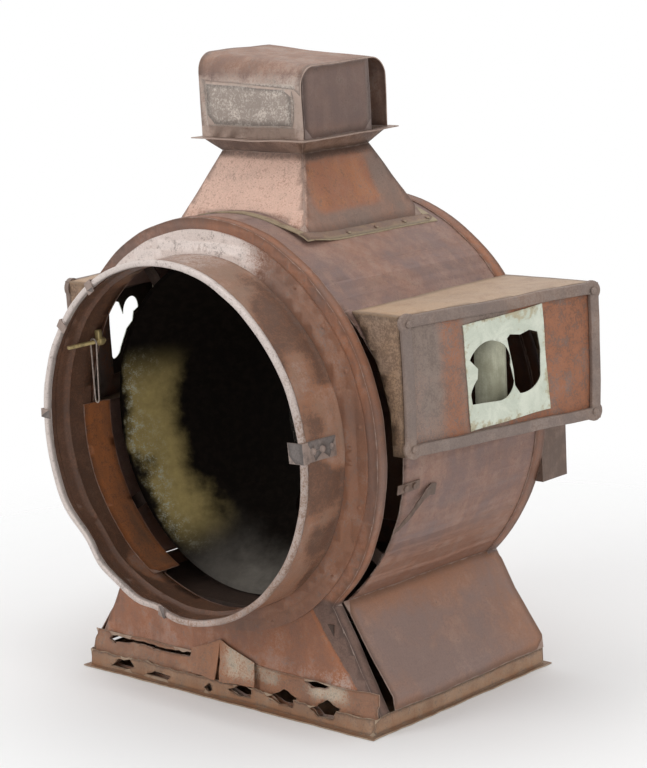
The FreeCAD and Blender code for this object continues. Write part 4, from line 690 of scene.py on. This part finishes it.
def lifted_saddle(point):
    """The saddle's front right corner has sprung up from the drum."""
    moved = bent(point)
    gap = (point - Vector((0.137, -0.115, 0.655))).length / 0.05
    return moved + Vector((0.002, -0.002, 0.007)) * math.exp(-gap * gap * 2)


collar_point = Vector((-0.18, -0.27, 0.21))
print("a point on the collar moves", (bent(collar_point) - collar_point).length)

# %% [markdown]
# To bend a CAD sheet it first needs points to bend. A copy of the node is made, its loose triangles are merged,
# flat areas are dissolved, and Bisect cuts it into small cells along all three axes, which keeps every hole
# and edge where it was. Subdivide wouldn't do, because CAD triangles run from one end of a sheet to the other.

# %% Bent sheets
CELL = 0.0165


def deselect():
    if bpy.context.object and bpy.context.object.mode != "OBJECT":
        bpy.ops.object.mode_set(mode="OBJECT")
    bpy.ops.object.select_all(action="DESELECT")


def linked(name, mesh):
    """A new object of a mesh, in the scene."""
    piece = bpy.data.objects.new(name, mesh)
    bpy.context.scene.collection.objects.link(piece)
    return piece


def finish_piece(piece, material, body, nodes=(), smooth=35):
    """Smooth shading, finish and body for a piece that is ready."""
    deselect()
    piece.select_set(True)
    bpy.context.view_layer.objects.active = piece
    bpy.ops.object.transform_apply(location=True, rotation=True, scale=True)
    bpy.ops.object.shade_smooth_by_angle(angle=math.radians(smooth))
    piece.data.materials.clear()
    piece.data.materials.append(FINISHES[material] if isinstance(material, str) else material)
    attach(piece, body)
    if nodes:
        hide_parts(*nodes)
    piece.select_set(False)
    return piece


ROUND_SHEETS = ("goggle_ring", "goggle_collar", "glass_seat")


def mark_edges(mesh):
    """Writes 1 on the vertices of sharp edges, so that a finish can follow them."""
    normals = {}
    for face in mesh.polygons:
        for key in face.edge_keys:
            normals.setdefault(key, []).append(face.normal)
    sharp = set()
    for key, pair in normals.items():
        if len(pair) != 2 or pair[0].dot(pair[1]) < 0.8:
            sharp.update(key)
    edge = mesh.attributes.new("edge", "FLOAT", "POINT")
    edge.data.foreach_set("value", [float(index in sharp) for index in range(len(mesh.vertices))])


def round_rim(piece):
    """The collar's square front edge is closed round a wire, so its four edges are rounded."""
    mesh = piece.data
    bpy.ops.object.mode_set(mode="OBJECT")
    for edge in mesh.edges:
        ends = [mesh.vertices[index].co for index in edge.vertices]
        reach = [math.hypot(end.x, end.z - AXIS_HEIGHT) for end in ends]
        same = abs(reach[0] - reach[1]) < 0.001 and abs(ends[0].y - ends[1].y) < 0.001
        in_front = max(end.y for end in ends) < -0.2605
        edge.select = same and in_front and 0.2480 < min(reach) and max(reach) < 0.2585
    bpy.ops.object.mode_set(mode="EDIT")
    bpy.ops.mesh.select_mode(use_extend=False, type="EDGE")
    bpy.ops.mesh.bevel(offset=0.0030, segments=4, affect="EDGES")
    bpy.ops.mesh.select_mode(type="VERT")


def crumpled(node, field=bent, cell=CELL, softened=0.0):
    """A bent copy of a sheet that stands in for its CAD node."""
    deselect()
    mesh = NODES[node].data.copy()
    mesh.name = node + "_bent"
    piece = linked(node + "_bent", mesh)
    bpy.context.view_layer.objects.active = piece
    piece.select_set(True)
    bpy.ops.object.mode_set(mode="EDIT")
    bpy.ops.mesh.select_all(action="SELECT")
    bpy.ops.mesh.remove_doubles(threshold=1e-6)
    bpy.ops.mesh.dissolve_limited(angle_limit=math.radians(0.5))
    if node == "goggle_collar":
        bpy.ops.mesh.select_all(action="DESELECT")
        round_rim(piece)
    if softened:
        bpy.ops.object.mode_set(mode="OBJECT")
        bevel = piece.modifiers.new("soft_edges", "BEVEL")
        bevel.width = softened
        bevel.segments = 3
        bevel.angle_limit = math.radians(40)
        bpy.ops.object.modifier_apply(modifier=bevel.name)
        bpy.ops.object.mode_set(mode="EDIT")
    low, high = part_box(node)
    for axis in range(3):
        across = Vector([float(index == axis) for index in range(3)])
        steps = int((high[axis] - low[axis]) / cell)
        for step in range(1, steps + 1):
            place = Vector(low)
            place[axis] = low[axis] + (high[axis] - low[axis]) * step / (steps + 1)
            bpy.ops.mesh.select_all(action="SELECT")
            bpy.ops.mesh.bisect(plane_co=place, plane_no=across, threshold=1e-7)
    bpy.ops.mesh.select_all(action="SELECT")
    bpy.ops.mesh.quads_convert_to_tris()
    bpy.ops.object.mode_set(mode="OBJECT")
    if node not in ROUND_SHEETS:
        mark_edges(mesh)
    for vertex in mesh.vertices:
        vertex.co = field(vertex.co.copy())
    return finish_piece(piece, FINISH_OF[node], BODY_OF[node], [node], smooth=32)


FIELDS = {"front_head": creased_head, "front_skirt": eaten_skirt, "base_rim": eaten_skirt,
          "base_plate": ragged_base, "vent_saddle": lifted_saddle, "side_panel_right": proud_panel,
          "side_panel_left": proud_panel}
FINE = {"front_skirt": 0.006, "base_rim": 0.006}
SHEETS = ["front_head", "rear_head", "drum_shell", "side_panel_right", "side_panel_left", "vent_saddle",
          "vent_base", "vent_tray", "vent_inner_box", "vent_hood", "goggle_ring", "goggle_collar", "glass_seat",
          "glass_clips", "number_case_right", "number_case_left", "number_face_right", "number_face_left",
          "base_plate", "base_rim", "front_skirt", "liner_band", "rear_door"]
triangles = 0
for sheet in SHEETS:
    triangles += len(crumpled(sheet, FIELDS.get(sheet, bent), FINE.get(sheet, CELL)).data.polygons)
for side in ("right", "left"):
    triangles += len(crumpled("number_frame_" + side, bent, 0.03, 0.0022).data.polygons)
    plate = crumpled("number_plate_" + side, raised_openings if side == "left" else bent, 0.008)
    # The plates' inward faces get the near-black inside finish: painted shade behind the plates.
    plate.data.materials.append(FINISHES["inside"])
    for face in plate.data.polygons:
        face.material_index = int(face.normal.x * (1 if side == "left" else -1) > 0.3)
    triangles += len(plate.data.polygons)
print("bent sheets", len(SHEETS) + 4, "triangles", triangles)

# %% [markdown]
# Many small pieces are turned: rod, knob, chimney, bowl. Each is an outline of a few points that Spin turns once
# about an axis, and Remove Doubles closes the seam and the poles before the normals are made to point outwards.

# %% Turned pieces


def spun(name, outline, steps, centre, axis, closed=True):
    """A ring or bowl: an outline of points, spun once about an axis."""
    deselect()
    bpy.ops.mesh.primitive_plane_add(size=1)
    piece = bpy.context.object
    piece.name = name
    bpy.ops.object.mode_set(mode="EDIT")
    bpy.ops.mesh.select_all(action="SELECT")
    bpy.ops.mesh.delete(type="VERT")
    bpy.ops.object.mode_set(mode="OBJECT")
    mesh = piece.data
    mesh.vertices.add(len(outline))
    for vertex, place in zip(mesh.vertices, outline):
        vertex.co = place
    pairs = [(index, index + 1) for index in range(len(outline) - 1)]
    if closed:
        pairs.append((len(outline) - 1, 0))
    mesh.edges.add(len(pairs))
    for edge, pair in zip(mesh.edges, pairs):
        edge.vertices = pair
    mesh.update()
    bpy.ops.object.mode_set(mode="EDIT")
    bpy.ops.mesh.select_all(action="SELECT")
    bpy.ops.mesh.spin(steps=steps, angle=2 * math.pi, center=centre, axis=axis)
    bpy.ops.mesh.select_all(action="SELECT")
    bpy.ops.mesh.remove_doubles(threshold=1e-5)
    bpy.ops.mesh.normals_make_consistent(inside=False)
    bpy.ops.object.mode_set(mode="OBJECT")
    return piece


# %% [markdown]
# A rivet head is a shallow dome on a thin skirt. One is made from a sphere by cutting off its lower half and
# pressing it flat, and it is copied to every place with its own mesh, turned so that it stands on its sheet.

# %% Rivet heads
deselect()
bpy.ops.mesh.primitive_uv_sphere_add(segments=20, ring_count=12, radius=1.0)
dome = bpy.context.object
dome.name = "rivet_pattern"
bpy.ops.object.mode_set(mode="EDIT")
bpy.ops.mesh.select_all(action="SELECT")
bpy.ops.mesh.bisect(plane_co=(0, 0, 0.08), plane_no=(0, 0, 1), clear_inner=True, use_fill=True)
bpy.ops.mesh.select_all(action="SELECT")
bpy.ops.transform.resize(value=(1.0, 1.0, 0.55))
bpy.ops.object.mode_set(mode="OBJECT")


def joined(name, pieces, material, body, nodes=()):
    """Several copies as one object."""
    deselect()
    for piece in pieces:
        piece.select_set(True)
    bpy.context.view_layer.objects.active = pieces[0]
    bpy.ops.object.join()
    whole = bpy.context.object
    whole.name = name
    return finish_piece(whole, material, body, nodes, smooth=45)


def copy_dome(place, outward, radius, flat=1.0):
    piece = linked("head", dome.data.copy())
    turn = Vector(outward).to_track_quat("Z", "Y").to_matrix().to_4x4()
    size = Matrix.Diagonal((radius, radius, radius * flat, 1))
    piece.data.transform(Matrix.Translation(bent(Vector(place))) @ turn @ size)
    return piece


YAW = math.radians(12.4)
for side, sign in (("right", 1), ("left", -1)):
    heads = []
    outward = Vector((sign * math.cos(YAW), -math.sin(YAW), 0))
    for along in (0.011, 0.330):
        for height in (0.396, 0.566):
            place = Vector((sign * (0.3227 + along * math.sin(YAW)), -0.145 + along * math.cos(YAW), height))
            heads.append(copy_dome(place + outward * 0.0073, outward, 0.0052))
    joined(f"frame_rivets_{side}", heads, "bars", "case",
           ["number_rivets_" + side])
ring_heads = []
for angle in (24, 38, 52, 66, 112, 140, 165, 200, 250, 290, 320, 345, 8):
    turn = math.radians(angle)
    place = Vector((0.2785 * math.cos(turn), -0.1782, AXIS_HEIGHT + 0.2785 * math.sin(turn)))
    ring_heads.append(copy_dome(place, (0, -1, 0), 0.0038, 0.8))
joined("ring_rivets", ring_heads, "ring", "goggle")
vent_heads = []
for x in (-0.137, 0.137):
    for y in (-0.09, -0.03, 0.03, 0.09, 0.14):
        height = AXIS_HEIGHT + math.sqrt(0.303 ** 2 - x * x) + 0.0003
        vent_heads.append(copy_dome((x, y, height), (x, 0, height - AXIS_HEIGHT), 0.0036, 0.8))
joined("saddle_rivets", vent_heads, "saddle", "case")
seam_heads = [copy_dome((0.279 + 0.0016, -0.14 + index * 0.038, 0.016), (1, 0, 0), 0.0032, 0.8)
              for index in range(9)]
joined("rim_rivets_right", seam_heads, "base", "case")
bpy.data.objects.remove(dome)

# %% [markdown]
# The reflector is a parabola spun about the lamp's axis, with a narrow flat rim. The CAD bowl has few steps, so
# a smooth one replaces it. Its wall gets its thickness from Solidify, and two Booleans open the holes for the
# burner and the chimney.

# %% Reflector
VERTEX = 0.0838
FOUR_FOCAL = 4 * 0.06734
outline = [Vector((0.0, VERTEX, AXIS_HEIGHT))]
for index in range(1, 33):
    reach = 0.24 * index / 32
    outline.append(Vector((reach, VERTEX - reach * reach / FOUR_FOCAL, AXIS_HEIGHT)))
outline.append(Vector((0.246, -0.130, AXIS_HEIGHT)))
bowl = spun("smooth_bowl", outline, 120, AXIS, (0, 1, 0), closed=False)
wall = bowl.modifiers.new("wall", "SOLIDIFY")
wall.thickness = 0.0012
wall.offset = 0.0
bpy.ops.object.modifier_apply(modifier=wall.name)
for radius, middle in ((0.026, 0.25), (0.036, 0.53)):
    deselect()
    bpy.ops.mesh.primitive_cylinder_add(vertices=40, radius=radius, depth=0.26, location=(0, 0.0165, middle))
    drill = bpy.context.object
    deselect()
    bpy.context.view_layer.objects.active = bowl
    bowl.select_set(True)
    hole = bowl.modifiers.new("hole", "BOOLEAN")
    hole.operation = "DIFFERENCE"
    hole.object = drill
    bpy.ops.object.modifier_apply(modifier=hole.name)
    bpy.data.objects.remove(drill)
finish_piece(bowl, "bowl", "case", ["reflector"], smooth=40)
print("bowl", len(bowl.data.polygons), "faces")

# %% [markdown]
# The stay rod is threaded along its length, and a thread this fine reads as rings, so the rod's outline is a
# zigzag spun about its own axis. Its hexagon nut is a six-sided cylinder with softened corners. The wire link
# is a thin torus whose lower half is pulled down in edit mode, so it hangs as a long loop.

# %% Stay rod, nut and wire link
ROD = Vector((-0.2125, 0, 0.5045))
outline = []
for index in range(73):
    y = -0.181 - index * 0.001
    outline.append(Vector((ROD.x + (0.0031 if index % 2 else 0.0025), y, ROD.z)))
outline = [Vector((ROD.x, -0.181, ROD.z))] + outline + [Vector((ROD.x, -0.253, ROD.z))]
thread = spun("threaded_rod", outline, 20, ROD, (0, 1, 0), closed=False)
deselect()
bpy.ops.mesh.primitive_cube_add(size=1, location=(-0.2125, -0.1935, 0.5125))
lug = bpy.context.object
bpy.ops.object.mode_set(mode="EDIT")
bpy.ops.transform.resize(value=(0.009, 0.008, 0.018))
bpy.ops.mesh.bevel(offset=0.0015, segments=2)
bpy.ops.object.mode_set(mode="OBJECT")
joined("stay_rod", [thread, lug], "brass", "goggle", ["brass_rod"])
deselect()
bpy.ops.mesh.primitive_cylinder_add(vertices=6, radius=0.0072, depth=0.009, location=(ROD.x, -0.1905, ROD.z))
nut = bpy.context.object
nut.name = "hexagon_nut"
bpy.ops.object.mode_set(mode="EDIT")
bpy.ops.transform.rotate(value=math.radians(90), orient_axis="X", center_override=(ROD.x, -0.1905, ROD.z))
bpy.ops.mesh.bevel(offset=0.0011, segments=3)
bpy.ops.object.mode_set(mode="OBJECT")
finish_piece(nut, "brass", "goggle", ["brass_nut"])
deselect()
bpy.ops.mesh.primitive_torus_add(major_radius=0.0062, minor_radius=0.00125, major_segments=48, minor_segments=10,
                                 location=(0, 0, 0), rotation=(math.radians(90), 0, 0))
link = bpy.context.object
link.name = "hanging_link"
bpy.ops.object.transform_apply(location=True, rotation=True, scale=True)
bpy.ops.object.mode_set(mode="EDIT")
bpy.ops.mesh.select_mode(type="VERT")
bpy.ops.mesh.select_all(action="DESELECT")
bpy.ops.object.mode_set(mode="OBJECT")
for vertex in link.data.vertices:
    vertex.select = vertex.co.z < -0.0001
bpy.ops.object.mode_set(mode="EDIT")
bpy.ops.transform.translate(value=(0, 0, -0.0815))
bpy.ops.object.mode_set(mode="OBJECT")
for vertex in link.data.vertices:
    vertex.co.x *= 1 - 0.35 * fade(-vertex.co.z, 0.02, 0.08)
link.data.transform(Matrix.Translation((ROD.x, -0.204, ROD.z - 0.0012)))
finish_piece(link, "wire", "wire_link", ["wire_link"], smooth=60)

# %% [markdown]
# The strap that once held the goggle shut is torn: a narrow tongue of sheet lies across the open seam, curled
# and split. It starts as one small face on the drum; its end edge is extruded from place to place along the
# torn line, each step a little narrower, and Solidify gives it the sheet's thickness.

# %% Torn strap
TORN = [((0.2955, -0.052, 0.3200), 0.0075, 10), ((0.2985, -0.066, 0.3225), 0.0085, 0),
        ((0.3005, -0.080, 0.3195), 0.0075, -15), ((0.2995, -0.092, 0.3095), 0.0060, -30),
        ((0.2985, -0.103, 0.3005), 0.0052, -20), ((0.2965, -0.114, 0.2920), 0.0045, 5),
        ((0.2930, -0.125, 0.2840), 0.0038, 25), ((0.2890, -0.133, 0.2770), 0.0028, 40)]
deselect()
bpy.ops.mesh.primitive_plane_add(size=1)
torn = bpy.context.object
torn.name = "torn_strap"
sides = []
for place, half, lean in TORN:
    across = Vector((0.10 * math.sin(math.radians(lean)), 0.35, 1.0)).normalized()
    sides.append((Vector(place) + across * half, Vector(place) - across * half))
for vertex, place in zip(torn.data.vertices, (sides[0][0], sides[0][1], sides[1][0], sides[1][1])):
    vertex.co = place
for upper, lower in sides[2:]:
    newest = range(len(torn.data.vertices) - 2, len(torn.data.vertices))
    bpy.ops.object.mode_set(mode="EDIT")
    bpy.ops.mesh.select_all(action="DESELECT")
    bpy.ops.object.mode_set(mode="OBJECT")
    for edge in torn.data.edges:
        edge.select = set(edge.vertices) == set(newest)
    for vertex in torn.data.vertices:
        vertex.select = vertex.index in newest
    bpy.ops.object.mode_set(mode="EDIT")
    bpy.ops.mesh.select_mode(type="EDGE")
    bpy.ops.mesh.extrude_region_move()
    bpy.ops.object.mode_set(mode="OBJECT")
    moved = [vertex for vertex in torn.data.vertices if vertex.index >= len(torn.data.vertices) - 2]
    moved.sort(key=lambda vertex: (vertex.co - upper).length - (vertex.co - lower).length)
    moved[0].co = upper
    moved[-1].co = lower
bpy.ops.object.mode_set(mode="EDIT")
bpy.ops.mesh.select_all(action="SELECT")
bpy.ops.mesh.subdivide(number_cuts=2, smoothness=0.6)
bpy.ops.object.mode_set(mode="OBJECT")
for vertex in torn.data.vertices:
    vertex.co += noise.noise_vector(vertex.co * 120) * 0.0016
sheet = torn.modifiers.new("sheet", "SOLIDIFY")
sheet.thickness = 0.0016
sheet.offset = 1
bpy.context.view_layer.objects.active = torn
bpy.ops.object.modifier_apply(modifier=sheet.name)
finish_piece(torn, "fittings", "case", smooth=40)
print("torn strap", len(torn.data.polygons), "faces")

# %% [markdown]
# Low down in the front a patch has been let in: two thin triangles that meet on an upright fold. A four-cornered
# piece of sheet is drawn, cut small and bent, Solidify makes it sheet, and a copy mirrored across the fold is the
# other half.

# %% Folded patch on the front
deselect()
bpy.ops.mesh.primitive_plane_add(size=1)
patch_piece = bpy.context.object
patch_piece.name = "folded_patch"
SKIRT_FACE = -0.1794
PATCH_FOLD = -0.0215
corners = [(-0.013, SKIRT_FACE - 0.0005, 0.084), (-0.008, -0.1925, 0.026), (0.052, SKIRT_FACE - 0.0012, 0.060),
           (0.058, -0.1905, 0.027)]
for vertex, place in zip(patch_piece.data.vertices, corners):
    vertex.co = place
bpy.ops.object.mode_set(mode="EDIT")
bpy.ops.mesh.select_all(action="SELECT")
bpy.ops.mesh.subdivide(number_cuts=7)
bpy.ops.object.mode_set(mode="OBJECT")
for vertex in patch_piece.data.vertices:
    vertex.co = bent(vertex.co) + noise.noise_vector(vertex.co * 70) * 0.0012
sheet = patch_piece.modifiers.new("sheet", "SOLIDIFY")
sheet.thickness = 0.0012
sheet.offset = 1
bpy.ops.object.modifier_apply(modifier=sheet.name)
patch_left = patch_piece.copy()
patch_left.data = patch_piece.data.copy()
bpy.context.scene.collection.objects.link(patch_left)
for vertex in patch_left.data.vertices:
    vertex.co.x = PATCH_FOLD - vertex.co.x
joined("front_patch", [patch_piece, patch_left], "skirt", "case")

# %% [markdown]
# The oil lamp behind the reflector hardly shows, but it is looked at from the rear and through the bowl's
# holes. The chimney gets its belly and the rear door its knob, as outlines spun about an upright and a level
# axis.

# %% Chimney and knob
FLAME = Vector((0, 0.0165, 0))
glass_line = [(0.0225, 0.3225), (0.0228, 0.334), (0.0262, 0.352), (0.0288, 0.374), (0.0286, 0.392), (0.0258, 0.414),
              (0.0226, 0.436), (0.0208, 0.462), (0.0203, 0.52), (0.0205, 0.5815)]
chimney = spun("bellied_chimney", [Vector((radius, FLAME.y, height)) for radius, height in glass_line], 40,
               FLAME, (0, 0, 1), closed=False)
wall = chimney.modifiers.new("wall", "SOLIDIFY")
wall.thickness = 0.0016
bpy.ops.object.modifier_apply(modifier=wall.name)
finish_piece(chimney, "glass", "case", ["lamp_chimney"], smooth=60)
knob_line = [(0.0, 0.2105), (0.008, 0.2102), (0.0106, 0.2085), (0.0112, 0.2055), (0.0106, 0.2028), (0.008, 0.2012),
             (0.0052, 0.199), (0.0048, 0.195), (0.0062, 0.1915), (0.0065, 0.1901), (0.0, 0.1901)]
KNOB = Vector((0.08, 0, 0.295))
knob = spun("turned_knob", [KNOB + Vector((radius, y, 0)) for radius, y in knob_line], 32, KNOB, (0, 1, 0),
            closed=False)
finish_piece(knob, "fittings", BODY_OF["rear_door_knob"], ["rear_door_knob"], smooth=50)
print("turned pieces", len(chimney.data.polygons) + len(knob.data.polygons), "faces")

# %% [markdown]
# The floor is a pale disc that fades out before the horizon, so the white world shows behind it and only the
# soft shadow by the base stays.

# %% Floor
deselect()
bpy.ops.mesh.primitive_circle_add(vertices=96, radius=2.4, fill_type="NGON", location=(0, 0, -0.0006))
floor = bpy.context.object
floor.name = "floor"
bpy.ops.object.transform_apply(location=True, rotation=True, scale=True)
pale_floor = Finish("pale_floor")
floor_x, floor_y, _ = pale_floor.axes()
away = (floor_x * floor_x + floor_y * floor_y) ** 0.5
pale_floor.set(Base_Color=(0.92, 0.92, 0.92), Roughness=0.9, Alpha=away.between(1.5, 0.45))
floor.data.materials.append(pale_floor.material)
